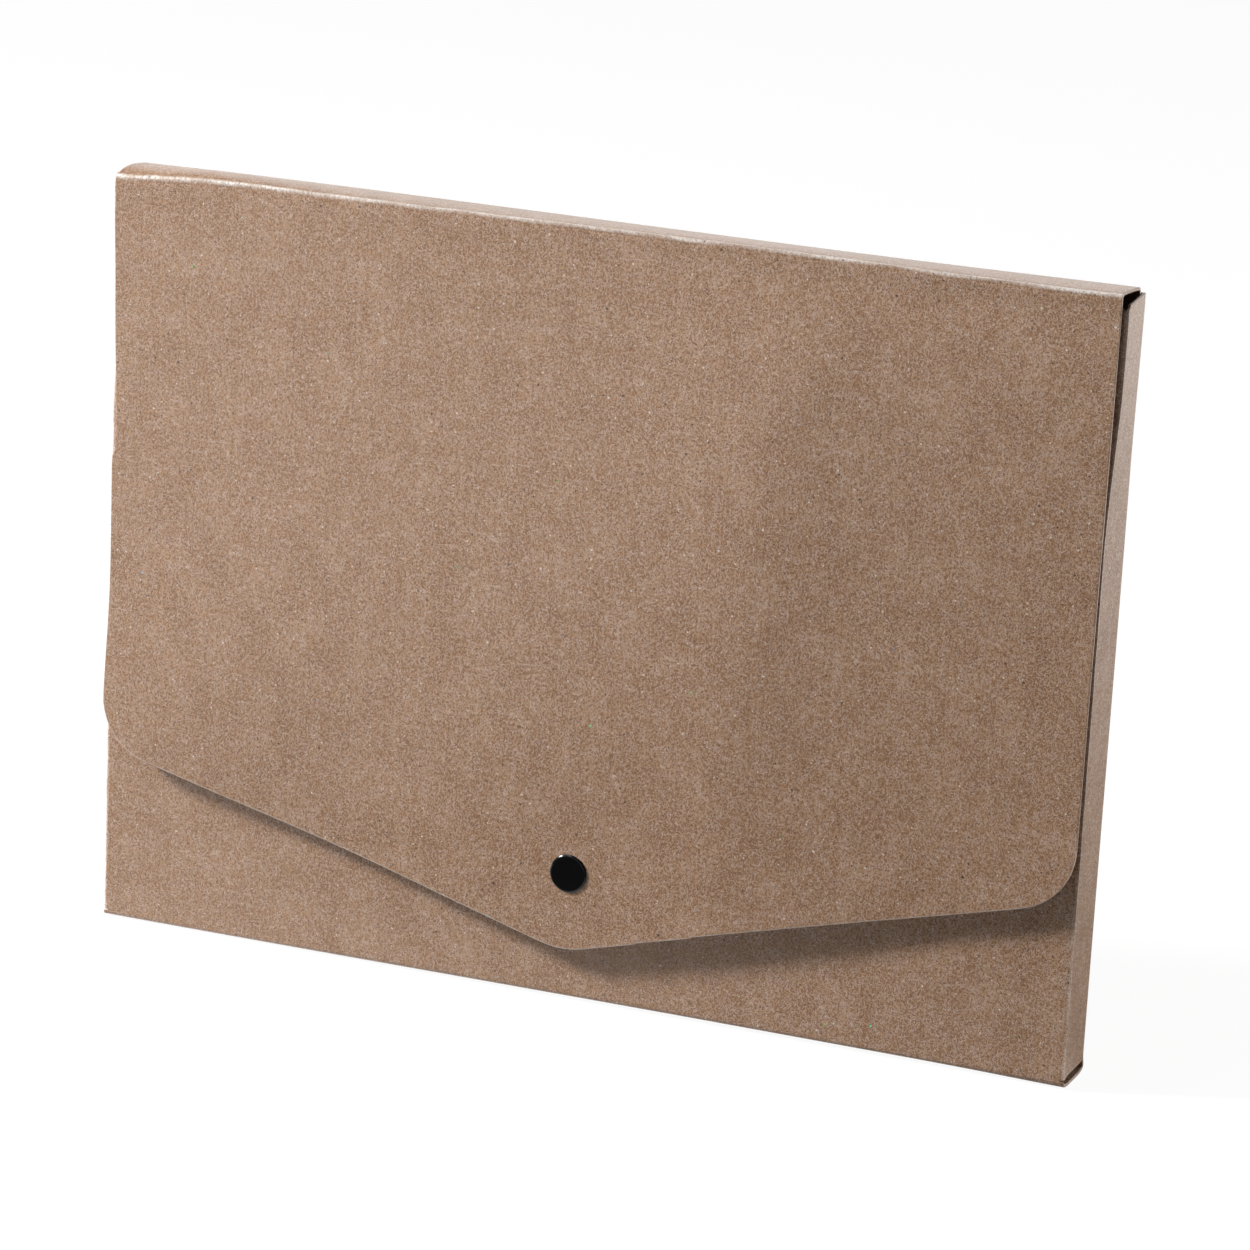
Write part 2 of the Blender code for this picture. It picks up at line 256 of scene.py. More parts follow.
def specks(bench, place, spacing, radius, share, shift):
    """A mask of small round specks of uneven size in that share of the cells, and the cells' colours."""
    (x, y, flat), (pick, size, tint), dice = scattered(bench, place, spacing, shift)
    distance = (x * x + y * y).math("SQRT") - (size * SPECK_SPREAD + SPECK_LEAST) * radius
    blur = SPECK_BLUR * radius
    return soft_step(bench, distance, blur, -blur) * pick.math("LESS_THAN", share), dice


def hairs(bench, place, spacing, length, width, share, shift):
    """A mask of short strokes, one in that share of the cells, each lying its own way."""
    (x, y, flat), (pick, turn, tint), dice = scattered(bench, place, spacing, shift)
    angle = turn * math.pi
    cosine, sine = angle.math("COSINE"), angle.math("SINE")
    along, across = abs(x * cosine + y * sine), abs(y * cosine - x * sine)
    inside = soft_step(bench, across, width, HAIR_CORE * width)
    inside = inside * soft_step(bench, along, length, HAIR_BODY * length)
    return inside * pick.math("LESS_THAN", share)


# %% [markdown]
# The pulp has one dark tone and two light ones, a warm and a greyer one. The fibre noise is finer than
# the picture's own points, so it is mixed with more contrast than the eye finally sees, and with more in
# some patches than in others. Each noise has a pitch in millimetres across the blank, along its run and
# through it; each kind of hair and speck has its own row of sizes.

# %% Kraft card colours
PULP_DARK = (0.225, 0.112, 0.054, 1.0)
PULP_WARM = (0.452, 0.280, 0.170, 1.0)
PULP_GREY = (0.500, 0.345, 0.252, 1.0)
HAIR_DARK = (0.150, 0.074, 0.036, 1.0)
HAIR_LIGHT = (0.600, 0.495, 0.430, 1.0)
# The rubbed colour is pale card, kept light enough to be the painted highlight on the front crease and the
# flap's edge too.
RUBBED_AND_HIGHLIGHT = (0.900, 0.830, 0.770, 1.0)
CUT_FACE = (0.420, 0.300, 0.215, 1.0)
SPECK_DARK = (0.040, 0.024, 0.018, 1.0)
SPECK_WHITE = (0.800, 0.750, 0.700, 1.0)

# %% Kraft card measures
CURL_PITCH = (1.2, 1.2, 1.2)
FIBRE_PITCH = (0.32, 0.52, 0.32)
FELT_PITCH = (0.75, 1.30, 0.75)
STREAK_PITCH = (1.5, 42.0, 1.5)
CLOUD_PITCH = (13.0, 16.0, 13.0)
PATCH_PITCH = (4.5, 6.5, 4.5)
GREY_PITCH = (3.0, 4.2, 3.0)
FLECK_PITCH = (0.9, 0.6, 0.9)
FIBRE_CONTRAST = 1.7
PATCH_CONTRAST = 5.0
FELT_CONTRAST = 2.2
STREAK_CONTRAST = 0.5
MID_GREY = 0.5

# Hairs: spacing, length, width, share of the cells, shift of the cells, strength, colour.
PULP_HAIRS = (
    (1.5, 0.70, 0.12, 0.65, 40.0, 0.55, HAIR_DARK),
    (1.3, 0.70, 0.13, 0.75, 80.0, 0.7, HAIR_LIGHT),
    (7.5, 1.50, 0.17, 0.40, 10.0, 0.5, HAIR_DARK),
)
# Specks: spacing, radius, share of the cells, shift of the cells, strength, colour or None for any.
PULP_SPECKS = (
    (2.6, 0.19, 0.28, 0.0, 0.7, SPECK_DARK),
    (7.0, 0.24, 0.32, 25.0, 0.9, SPECK_DARK),
    (2.8, 0.20, 0.11, 50.0, 0.75, SPECK_WHITE),
    (16.0, 0.24, 0.12, 90.0, 0.6, None),
)


# %% Kraft card finish
def kraft_finish():
    material, bench = new_finish("kraft_card")
    blank = bench.add("ShaderNodeAttribute", {"attribute_name": "blank"}, {}, "Vector")
    place = blank.vector("SCALE", PER_MM)
    drift = grain(bench, place, CURL_PITCH, 1.0, "Color").vector("SUBTRACT", (MID_GREY,) * 3)
    curled = place.vector("ADD", drift)
    fibre = grain(bench, curled, FIBRE_PITCH, 1.0)
    felt = grain(bench, curled, FELT_PITCH)
    streak = grain(bench, place, STREAK_PITCH)
    cloud = grain(bench, place, CLOUD_PITCH, 3.0)
    patch = grain(bench, curled, PATCH_PITCH)
    tone = MID_GREY + (fibre - MID_GREY) * (FIBRE_CONTRAST + patch * PATCH_CONTRAST)
    tone = tone + (felt - MID_GREY) * FELT_CONTRAST
    tone = tone + (streak - MID_GREY) * STREAK_CONTRAST + (cloud - MID_GREY)
    greyer = soft_step(bench, grain(bench, curled, GREY_PITCH, 3.0), 0.40, 0.60)
    light = mixed(bench, greyer, PULP_WARM, PULP_GREY)
    colour = mixed(bench, tone.clamped(), PULP_DARK, light)
    for *sizes, strength, tint in PULP_HAIRS:
        colour = mixed(bench, hairs(bench, curled, *sizes) * strength, colour, tint)

    cut = bench.add("ShaderNodeAttribute", {"attribute_name": "cut"}, {}, "Fac")
    colour = mixed(bench, (cut * (0.35 + fibre * 0.6)).clamped(), colour, CUT_FACE)
    # Rubbed crests and edges turn pale; on the front crease and the flap's lower edge the pale is partly a
    # painted highlight.
    worn_and_highlight = bench.add("ShaderNodeAttribute", {"attribute_name": "worn_and_highlight"}, {}, "Fac")
    fleck = soft_step(bench, grain(bench, curled, FLECK_PITCH), 0.42, 0.60)
    rubbed_and_highlight = (worn_and_highlight * (0.65 + fleck * 0.6)).clamped()
    colour = mixed(bench, rubbed_and_highlight, colour, RUBBED_AND_HIGHLIGHT)
    for *sizes, strength, tint in PULP_SPECKS:
        mask, dice = specks(bench, curled, *sizes)
        colour = mixed(bench, mask * strength, colour, tint or dice)

    height = fibre * 0.6 + felt * 0.4
    bump = bench.add("ShaderNodeBump", {}, {"Height": height, "Strength": 0.65, "Distance": 0.05 * MM})
    sockets = {"Base Color": colour, "Roughness": 0.34 + felt * 0.14, "Normal": bump}
    surface(bench, sockets)
    return material


KRAFT = kraft_finish()
print("kraft card:", len(KRAFT.node_tree.nodes), "nodes")

# %% [markdown]
# ## Card with a thickness
# A folded panel could be a flat plane with a Solidify modifier, but a cut edge needs its own soft
# corner and its own paler colour. So each sheet is laid out as a grid of points on its outer face,
# the inner face is the same grid one card thickness in, and a rim of three strips closes every edge.

# %% Weld patches into one sheet
WELD = 1e-6


def welded(patches):
    """One list of points and quads from patches that share their borders."""
    known = {}
    rows = {"outer": [], "inner": [], "blank": [], "worn_and_highlight": [], "seam": []}
    quads = []
    for patch in patches:
        shape = patch["outer"].shape[:2]
        index = np.zeros(shape, int)
        for spot in np.ndindex(shape):
            key = tuple(np.round(patch["outer"][spot] / WELD).astype(int))
            if key not in known:
                known[key] = len(known)
                for name in rows:
                    rows[name].append(patch[name][spot])
            index[spot] = known[key]
        corners = (index[:-1, :-1], index[1:, :-1], index[1:, 1:], index[:-1, 1:])
        found = np.stack([corner.ravel() for corner in corners], 1)
        quads.append(found if patch["forward"] else found[:, ::-1])
    return {name: np.array(values) for name, values in rows.items()}, np.concatenate(quads)


def rim_edges(quads):
    """The directed edges that only one quad uses."""
    edges = np.concatenate([quads[:, [i, (i + 1) % 4]] for i in range(4)])
    used = {tuple(edge) for edge in edges}
    return np.array([edge for edge in edges if (edge[1], edge[0]) not in used])


def inward(points, normals, edges):
    """For each rim point, the direction along the face that leads away from the edge."""
    pull = np.zeros_like(points)
    for first, last in edges:
        along = points[last] - points[first]
        along /= np.linalg.norm(along)
        for end in (first, last):
            pull[end] += np.cross(normals[end], along)
    length = np.linalg.norm(pull, axis=1)
    ends = length > 0
    pull[ends] *= np.minimum(2.0 / length[ends] ** 2, 1.0)[:, None]
    return pull


# %% [markdown]
# The rim's outermost rows are drawn in a little, which softens the corner that the knife leaves. A
# seam, where one sheet runs on as the next, stays square so that no groove shows there.

# %% Build a sheet of card
EDGE_SOFTENING = 0.14 * MM
SMOOTH_BELOW = math.radians(52)
CORNER_CUT = 0.6


def new_piece(name, mesh):
    piece = bpy.data.objects.new(name, mesh)
    bpy.context.scene.collection.objects.link(piece)
    return piece


def card_sheet(name, patches):
    """A closed piece of card with softened edges, its unfolded places and its marks for the finish."""
    sheet, quads = welded(patches)
    outer, inner, spread, rubbed_and_highlight = sheet["outer"], sheet["inner"], sheet["blank"], sheet["worn_and_highlight"]
    normals = (outer - inner) / CARD
    edges = rim_edges(quads)
    pull = inward(outer, normals, edges) * EDGE_SOFTENING
    pull[sheet["seam"]] = 0.0
    count = len(outer)
    ring = np.unique(edges)
    slot = np.zeros(count, int)
    slot[ring] = np.arange(len(ring))
    lip = EDGE_SOFTENING * normals[ring]
    points = np.concatenate([outer + pull, inner + pull, outer[ring] - lip, inner[ring] + lip])
    first, last = edges.T
    high = 2 * count + slot
    low = high + len(ring)
    strips = [
        (last, first, high[first], high[last]),
        (high[last], high[first], low[first], low[last]),
        (low[last], low[first], count + first, count + last),
    ]
    faces = [quads, quads[:, ::-1] + count] + [np.stack(strip, 1) for strip in strips]

    side = np.repeat([0.0, CARD, 0.0, CARD], [count, count, len(ring), len(ring)])
    places = np.column_stack([np.concatenate([spread, spread, spread[ring], spread[ring]]), -side])
    edged = ring[~sheet["seam"][ring]]
    cut = np.concatenate([np.zeros(2 * count), np.ones(2 * len(ring))])
    cut[edged] = CORNER_CUT
    cut[count + edged] = CORNER_CUT
    worn_and_highlight = np.concatenate([rubbed_and_highlight, 0 * rubbed_and_highlight, rubbed_and_highlight[ring], 0 * rubbed_and_highlight[ring]])
    mesh = bpy.data.meshes.new(name)
    mesh.from_pydata(points.tolist(), [], np.concatenate(faces).tolist())
    mesh.attributes.new("blank", "FLOAT_VECTOR", "POINT").data.foreach_set("vector", places.ravel())
    mesh.attributes.new("cut", "FLOAT", "POINT").data.foreach_set("value", cut)
    mesh.attributes.new("worn_and_highlight", "FLOAT", "POINT").data.foreach_set("value", worn_and_highlight)
    mesh.shade_smooth()
    mesh.set_sharp_from_angle(angle=SMOOTH_BELOW)
    mesh.materials.append(KRAFT)
    print(name, len(mesh.polygons), "faces, rim of", len(ring), "points")
    return new_piece(name, mesh)


# %% [markdown]
# ## Walking along a fold
# A folded strip is drawn as a pen would walk it: straight for a length, then left round a radius. The
# walk gives each point, the direction that the outer face looks in and the distance on the flat blank.

# %% Walk a folded outline
FINE_STOPS = np.array((0.4, 1.0, 2.0, 3.6)) * MM


def run_stops(length, pitch, fine_start=True, fine_end=True):
    """Distances along a straight run, close together beside a fold or a cut edge."""
    low = FINE_STOPS if fine_start else np.array([0.0])
    high = length - FINE_STOPS[::-1] if fine_end else np.array([length])
    middle = np.linspace(low[-1], high[0], max(2, round((high[0] - low[-1]) / pitch) + 1))
    stops = np.unique(np.round(np.concatenate([low, middle, high, [length]]), 8))
    return stops[stops > 0]


def fold_stops(radius, turn, steps):
    return np.linspace(0, radius * turn, steps + 1)[1:]


def walk(start, heading, moves):
    """Points, outward directions and distances of a walk; a move is (stops, turn) with turn in radians."""
    place = np.array(start, float)
    points, outward, distance = [place], [heading - QUARTER], [0.0]
    for stops, turn in moves:
        travelled = distance[-1]
        if turn:
            radius = stops[-1] / turn
            centre = place + radius * np.array((-math.sin(heading), math.cos(heading)))
            angles = heading - QUARTER + stops / radius
            points += list(centre + radius * np.column_stack([np.cos(angles), np.sin(angles)]))
            outward += list(angles)
        else:
            points += list(place + stops[:, None] * np.array((math.cos(heading), math.sin(heading))))
            outward += [heading - QUARTER] * len(stops)
        distance += list(travelled + stops)
        heading += turn
        place = points[-1]
    looks = np.column_stack([np.cos(outward), np.sin(outward)])
    return np.array(points), looks, np.array(distance)


# %% [markdown]
# ## How the card has settled
# Real card never lies quite flat. Here the front of the pocket leans to the right near its mouth, the
# base sags, the lid bows up and is crowned at its left end, and the flap stands off along a soft ridge
# that runs down to the snap's right. These shifts are smooth functions of place, so sheets that share
# an edge still share it after they have moved.

# %% Shapes that the settling is made of
def ease(value, low, high):
    t = np.clip((value - low) / (high - low), 0, 1)
    return t * t * (3 - 2 * t)


def hump(value, middle, width):
    return np.exp(-(((value - middle) / width) ** 2))


def ragged(along, pitch, seed):
    """An uneven line between -1 and 1 with a new value about every pitch, the same on every run."""
    spot = (along - np.min(along)) / pitch
    knots = np.random.default_rng(seed).uniform(-1, 1, int(np.max(spot)) + 2)
    return np.interp(spot, np.arange(len(knots)), knots)


# %% Rise of the two creases
SLOW_WAVE = 0.2 * MM
FRONT_BOW = 1.4 * MM
FRONT_BOW_ENDS = (20 * MM, 150 * MM)
LEFT_FALL = 2.2 * MM
LEFT_FALL_FROM = 130 * MM
REAR_LEFT = 0.75 * MM
REAR_FALL = 1.95 * MM
REAR_REACH = 120 * MM


def slow_waves(x, z):
    """A gentle unevenness of the card, from waves that don't line up."""
    return SLOW_WAVE * (
        np.sin(x / (31 * MM) + z / (57 * MM))
        + 0.7 * np.sin(z / (23 * MM) - x / (74 * MM) + 1.3)
        + 0.5 * np.sin(x / (17 * MM) - z / (40 * MM) + 4.0)
    )


def front_rise(x):
    """How far the front crease has bowed up: most left of the middle, nothing at the right end."""
    return FRONT_BOW * (1 - ease(x, *FRONT_BOW_ENDS)) - LEFT_FALL * ease(-x, LEFT_FALL_FROM, LID_SIDE)


def rear_rise(x):
    """The rear crease climbs from right to left."""
    return REAR_LEFT - REAR_FALL * ease(x, -REAR_REACH, REAR_REACH)


# %% Settle the pocket
RACK = 2.1 * MM
RACK_BETWEEN = (165 * MM, 228 * MM)
WALL_INSET = 0.8 * MM
INSET_FROM = 60 * MM
REAR_SHIFT = 0.3 * MM
REAR_SHIFT_FROM = 100 * MM
REAR_TOP_OUT = 0.55 * MM
REAR_FOOT_IN = 0.5 * MM
REAR_STILL = 190 * MM
BASE_SAG = 0.25 * MM
END_SAG = 1.2 * MM
END_SAG_WIDTH = 26 * MM
SAG_FADE = (1.5 * MM, 5 * MM)
LEFT_DROOP = 0.85 * MM
DROOP_END = 60 * MM
DROOP_HEIGHT = 70 * MM
WALL_SINK = 0.9 * MM
SINK_FROM = 120 * MM
STUD_STILL = 16 * MM
OFF_FOLD = (4 * MM, 30 * MM)
OFF_END = (2 * MM, 40 * MM)


def settle_pocket(points):
    x, y, z = points.T
    moved = points.copy()
    forward = (BACK - y) / (BACK - FRONT)
    lean = RACK * ease(z, *RACK_BETWEEN) - WALL_INSET * ease(x, INSET_FROM, SIDE)
    rear = REAR_SHIFT + REAR_TOP_OUT * ease(z, REAR_STILL, TOP) - REAR_FOOT_IN * (1 - ease(z, 0, REAR_STILL))
    moved[:, 0] += forward * lean + (1 - forward) * rear * ease(x, REAR_SHIFT_FROM, SIDE)
    sag = BASE_SAG + END_SAG * hump(x, SIDE, END_SAG_WIDTH)
    flat = np.clip(1 - (y / BACK) ** 4, 0, 1)
    moved[:, 2] -= LEFT_DROOP * (1 - ease(x, -SIDE, DROOP_END)) * (1 - ease(z, 0, DROOP_HEIGHT))
    moved[:, 2] -= sag * flat * (1 - ease(z, *SAG_FADE))
    is_back = y > BACK - 1.1 * CARD
    moved[:, 2] += np.where(is_back, rear_rise(x), -WALL_SINK * forward) * ease(z, SINK_FROM, TOP - CREASE)
    still = 1 - hump(x, 0, STUD_STILL) * hump(z, STUD_HEIGHT, STUD_STILL)
    loose = ease(z, *OFF_FOLD) * ease(SIDE - np.abs(x), *OFF_END) * still
    off_hinge = np.where(y < 0, 1.0, ease(TOP - z, *OFF_FOLD))
    is_wall = np.abs(y) > BACK / 2
    moved[:, 1] += np.where(is_wall, slow_waves(x, z) * loose * off_hinge, 0.0)
    return moved


# %% [markdown]
# The lid follows its two creases up and is crowned between them, most at its left end. The flap hangs
# from it like a shallow tent: it falls away on both sides of the ridge, curls out at its lower left
# corner and stays put at the snap. Where it would sink into the front, it is only pressed against it.

# %% Lift of the lid
CROWN = 1.7 * MM
CROWN_WIDTH = 70 * MM
LEAST_CROWN = 0.35 * MM
ARCH_SKEW = 0.65
LID_SKIN = (TOP - 4 * MM, TOP - 1 * MM)
RISE_FROM = 60 * MM


def lid_lift(x, y, z):
    """How far the lid, and the top of the flap with it, has moved up."""
    across = np.clip((y - FLAP_FACE) / (BACK - FLAP_FACE), 0, 1)
    rise = front_rise(x) * (1 - across) + rear_rise(x) * across
    crown = CROWN * hump(x, -LID_SIDE, CROWN_WIDTH) + LEAST_CROWN
    arch = np.sin(np.pi * across**ARCH_SKEW) * ease(z, *LID_SKIN)
    return rise * ease(z, RISE_FROM, TOP - CREASE) + crown * arch


# %% Hang of the flap
HANG_BETWEEN = (3 * MM, 45 * MM)
SNAP_STILL = (42 * MM, 40 * MM)
RIDGE_X = 46 * MM
RIDGE_Z = 60 * MM
RIDGE_SLANT = 0.12
RIDGE_HEIGHT = 1.9 * MM
RIDGE_ROUND = 7 * MM
RIDGE_LOSS = 0.5
RIDGE_FADE = (130 * MM, 215 * MM)
LEFT_DROP = 4.2 * MM
LEFT_REACH = 120 * MM
RIGHT_DROP = 2.3 * MM
RIGHT_REACH = 48 * MM
CORNER_CURL = 2.1 * MM
CURL_FROM = 60 * MM
CURL_BETWEEN = (110 * MM, 190 * MM)
FLAP_WAVES = 0.7
ROOM_AT_TOP = 0.5 * MM


def stand_off(x, z):
    """How far the flap stands off forward; less than nothing where it is pressed back."""
    below = TOP - z
    hang = ease(below, *HANG_BETWEEN)
    still = 1 - hump(x, 0, SNAP_STILL[0]) * hump(z, STUD_HEIGHT, SNAP_STILL[1])
    from_ridge = x - RIDGE_X - RIDGE_SLANT * (z - RIDGE_Z)
    away = np.hypot(from_ridge, RIDGE_ROUND) - RIDGE_ROUND
    left = LEFT_DROP * (1 - np.exp(-away / LEFT_REACH))
    right = RIGHT_DROP * (1 - np.exp(-away / RIGHT_REACH))
    tent = RIDGE_HEIGHT - np.where(from_ridge < 0, left, right)
    curl = CORNER_CURL * ease(-x, CURL_FROM, LID_SIDE) * ease(below, *CURL_BETWEEN)
    fade = 1 - RIDGE_LOSS * ease(below, *RIDGE_FADE)
    free = (tent * fade + curl + FLAP_WAVES * slow_waves(x, z)) * hang * still
    room = ROOM_AT_TOP + math.tan(FLAP_LEAN) * np.maximum(below, 0)
    return np.where(free < 0, room * np.tanh(free / room), free)


# %% [markdown]
# The flap's side edges aren't straight either. The right one flares out at the top. The left one has a
# small step and is tucked in just above it, with a shallow waist further down. A faint dent runs along
# the flap just below the front crease.

# %% Side edges of the flap
FLARE = 0.35 * MM
FLARE_LOSS = 0.45 * MM
FLARE_FADE = (20 * MM, 150 * MM)
TUCK = 1.3 * MM
TUCK_STEP = (155 * MM, 159 * MM)
TUCK_FADE = (159 * MM, 212 * MM)
TUCK_FROM = 120 * MM
WAIST = 0.55 * MM
WAIST_Z = 112 * MM
WAIST_TALL = 26 * MM
TOP_OUT = 0.5 * MM
TOP_OUT_BETWEEN = (205 * MM, 240 * MM)


def side_shift(x, z):
    """How far the flap's side edges have moved to the right."""
    flare = np.clip(x / LID_SIDE, 0, 1) ** 3 * (FLARE - FLARE_LOSS * ease(TOP - z, *FLARE_FADE))
    tuck = TUCK * ease(z, *TUCK_STEP) * (1 - ease(z, *TUCK_FADE))
    waist = WAIST * hump(z, WAIST_Z, WAIST_TALL) - TOP_OUT * ease(z, *TOP_OUT_BETWEEN)
    return flare + (tuck + waist) * ease(-x, TUCK_FROM, LID_SIDE)


# %% Settle the lid and the flap
CREASE_DENT = 0.45 * MM
DENT_X = 112 * MM
DENT_WIDTH = 34 * MM
DENT_BELOW = 8 * MM
DENT_TALL = 5 * MM


def settle_lid(points):
    """The lid, its two creases and the flap, which is what hangs in front of the pocket."""
    x, y, z = points.T
    moved = points.copy()
    dent = CREASE_DENT * (0.5 + 0.5 * hump(x, DENT_X, DENT_WIDTH)) * hump(TOP - z, DENT_BELOW, DENT_TALL)
    is_flap = y < FRONT
    moved[:, 0] += np.where(is_flap, side_shift(x, z), 0.0)
    moved[:, 1] += np.where(is_flap, dent - stand_off(x, z), 0.0)
    moved[:, 2] += lid_lift(x, y, z)
    return moved


probe = settle_lid(np.array([[-LID_SIDE, FLAP_FACE, 0.5 * TOP]]))[0]
print("halfway down, the flap's left edge is pressed back by %.2f mm" % ((probe[1] - FLAP_FACE) / MM))

# %% [markdown]
# ## The pocket
# Front, base and back are one strip with two right-angled folds; each end wall hangs on the front by
# a vertical fold, and ends in a tab that is glued behind the back. Making the pocket as one welded
# sheet, as it is die-cut, leaves no seam at any fold.

# %% Patches of sheet
def make_patch(outer, looks, blank, settle, forward, worn_and_highlight=None, seam=None):
    """A patch of sheet from its outer points and the directions that they face."""
    shape = outer.shape[:2]
    inner = outer - CARD * looks
    return {
        "outer": settle(outer.reshape(-1, 3)).reshape(*shape, 3),
        "inner": settle(inner.reshape(-1, 3)).reshape(*shape, 3),
        "blank": blank,
        "worn_and_highlight": np.zeros(shape) if worn_and_highlight is None else worn_and_highlight,
        "seam": np.zeros(shape, bool) if seam is None else seam,
        "forward": forward,
    }


def strip(x, points, looks, distance):
    """Outer points, directions and unfolded places of a strip: columns of x along a walk in y and z."""
    shape = np.broadcast_shapes((len(points), 1), np.shape(x))
    spread = [np.broadcast_to(a, shape) for a in (x, points[:, :1], points[:, 1:])]
    facing = [np.broadcast_to(a, shape) for a in (0.0, looks[:, :1], looks[:, 1:])]
    blank = np.stack([spread[0], np.broadcast_to(-distance[:, None], shape)], 2)
    return np.stack(spread, 2), np.stack(facing, 2), blank


# %% Front, base and back
PANEL_PITCH = 4.0 * MM
WALL_PITCH = 3.0 * MM
FOLD_CELLS = 8
SHOULDER = 2.0 * MM

wall_end = MOUTH - WALL_LOW
front_stops = np.unique(np.round(np.append(run_stops(MOUTH - FOLD, PANEL_PITCH), wall_end), 8))
fold_run = fold_stops(FOLD, QUARTER, FOLD_CELLS)
base_stops = run_stops(BACK - FRONT - 2 * FOLD, PANEL_PITCH)
back_stops = run_stops(TOP - CREASE - FOLD, PANEL_PITCH)
wrap_moves = [(front_stops, 0), (fold_run, QUARTER), (base_stops, 0), (fold_run, QUARTER), (back_stops, 0)]
wrap = walk((FRONT, MOUTH), -QUARTER, wrap_moves)
wrap_length = wrap[2][-1]
half_width = SIDE - FOLD
columns = np.append(0.0, run_stops(2 * half_width, PANEL_PITCH)) - half_width

seam = np.zeros((len(wrap[0]), len(columns)), bool)
seam[-1] = True
pocket_patches = [make_patch(*strip(columns, *wrap), settle_pocket, True, seam=seam)]
print("pocket strip: %d rows, %d columns" % seam.shape)

# %% [markdown]
# The base and the back run on past the strip to the end walls, and the back has small shoulders just
# below the lid's crease.

# %% Margins of base and back
END_INSET = 0.35 * MM
BASE_INSET = 0.2 * MM

after_front = len(front_stops)
rest = [part[after_front:] for part in wrap]
rest_y, rest_z = rest[0].T
narrow = END_INSET * ease(rest_z, 0, 3 * FOLD)
narrow = np.maximum(narrow, (SIDE - LID_SIDE) * ease(rest_z, TOP - CREASE - SHOULDER, TOP - CREASE))
narrow = np.where(rest_y > 0, narrow, 0.0) + BASE_INSET * np.clip(1 - (rest_y / BACK) ** 2, 0, 1)
margin = np.concatenate([[0.0], FOLD - FINE_STOPS[1::-1], [FOLD]])
margin_x = half_width + margin - np.outer(narrow, margin / FOLD)
for hand in (-1, 1):
    seam = np.zeros(margin_x.shape, bool)
    seam[-1] = True
    pocket_patches.append(make_patch(*strip(hand * margin_x, *rest), settle_pocket, hand > 0, seam=seam))

# %% [markdown]
# Each end wall walks round two folds to its tab. The outer fold is where the card was bent hardest: its
# skin has cracked, so the crest is uneven and paler.

# %% End walls and tabs
TAB_TAPER = 8.0 * MM
FOOT_LIFT = 1.4 * MM
FOOT_TALL = 16 * MM
FOOT_START = 5 * MM
SHARP = {-1: 0.3, 1: 0.8}
RAGGED = 0.08 * MM
CRACKED = 0.4
CRACK_WIDTH = 0.4 * MM

wall_run = run_stops(TAB_FACE - FRONT - 2 * FOLD, WALL_PITCH)
wing_moves = [(fold_run, QUARTER), (wall_run, 0), (fold_run, QUARTER)]
wing_points, wing_looks, wing_distance = walk((half_width, FRONT), 0.0, wing_moves)
tab_run = np.append(0.0, run_stops(half_width - tab_low.x, WALL_PITCH, fine_start=False))
rows = MOUTH - np.append(0.0, front_stops[front_stops <= wall_end + WELD])
climb = 1 + (WALL_HIGH - MOUTH) / (MOUTH - WALL_LOW) * ease(wing_distance, 0, wing_distance[FOLD_CELLS])
foot = (1 - ease(rows - WALL_LOW, 0, FOOT_TALL))[:, None] * ease(wing_distance, 0, FOOT_START)
wing_z = WALL_LOW + (rows[:, None] - WALL_LOW) * climb + FOOT_LIFT * foot
crack_column = FOLD_CELLS // 2
crack = hump(wing_distance, wing_distance[crack_column], CRACK_WIDTH)
wing_corner = FOLD * (1 / np.abs(wing_looks).max(1) - 1)


def end_wall(hand):
    """The patch of one end wall, and the points and directions of its cracked crest."""
    shape = wing_z.shape
    looks = np.zeros((*shape, 3))
    looks[:, :, 0] = hand * wing_looks[:, 0]
    looks[:, :, 1] = wing_looks[:, 1]
    wing_x = np.broadcast_to(hand * wing_points[:, 0], shape)
    bent = np.stack([wing_x, np.broadcast_to(wing_points[:, 1], shape), wing_z], 2)
    rough = np.outer(ragged(rows, 5.0 * MM, 12 + hand) + 0.6 * ragged(rows, 4.0 * MM, 32 + hand), crack)
    outer = bent + looks * (SHARP[hand] * wing_corner + RAGGED * rough)[:, :, None]
    outer[:, 0] = bent[:, 0]
    flat = np.broadcast_to(hand * (half_width + wing_distance), shape)
    blank = np.stack([flat, np.broadcast_to(rows[:, None] - MOUTH, shape)], 2)
    worn_and_highlight = CRACKED * np.outer(0.7 + 0.3 * ragged(rows, 6.0 * MM, 22 + hand), crack)
    wing = make_patch(outer, looks, blank, settle_pocket, hand > 0, worn_and_highlight)
    return wing, (wing["outer"][:, crack_column], looks[:, crack_column])


def glue_tab(hand):
    """The patch of one tab, which tapers towards its free edge."""
    held = (wing_z[:, -1] <= tab_high.z) & (wing_z[:, -1] >= tab_low.z)
    tab_rows = wing_z[held, -1]
    middle = (tab_rows[0] + tab_rows[-1]) / 2
    taper = 1 - TAB_TAPER / (tab_rows[0] - middle) * tab_run / tab_run[-1]
    tab_z = middle + np.outer(tab_rows - middle, taper)
    looks = np.zeros((*tab_z.shape, 3))
    looks[:, :, 1] = 1.0
    x = np.broadcast_to(hand * (half_width - tab_run), tab_z.shape)
    flat = np.broadcast_to(hand * (half_width + wing_distance[-1] + tab_run), tab_z.shape)
    outer = np.stack([x, np.full(tab_z.shape, TAB_FACE), tab_z], 2)
    return make_patch(outer, looks, np.stack([flat, tab_z - MOUTH], 2), settle_pocket, hand > 0)


# %% Join the pocket
fold_crests = []
for hand in (-1, 1):
    wing, cracked_line = end_wall(hand)
    fold_crests.append(cracked_line)
    pocket_patches += [wing, glue_tab(hand)]

pocket = card_sheet("pocket_card", pocket_patches)

# %% [markdown]
# ## The flap's outline
# The flap's lower edge is a blunt point, two long slopes and two round corners. Its columns stand
# closer together round the corners and at the two small nicks that the die has left.

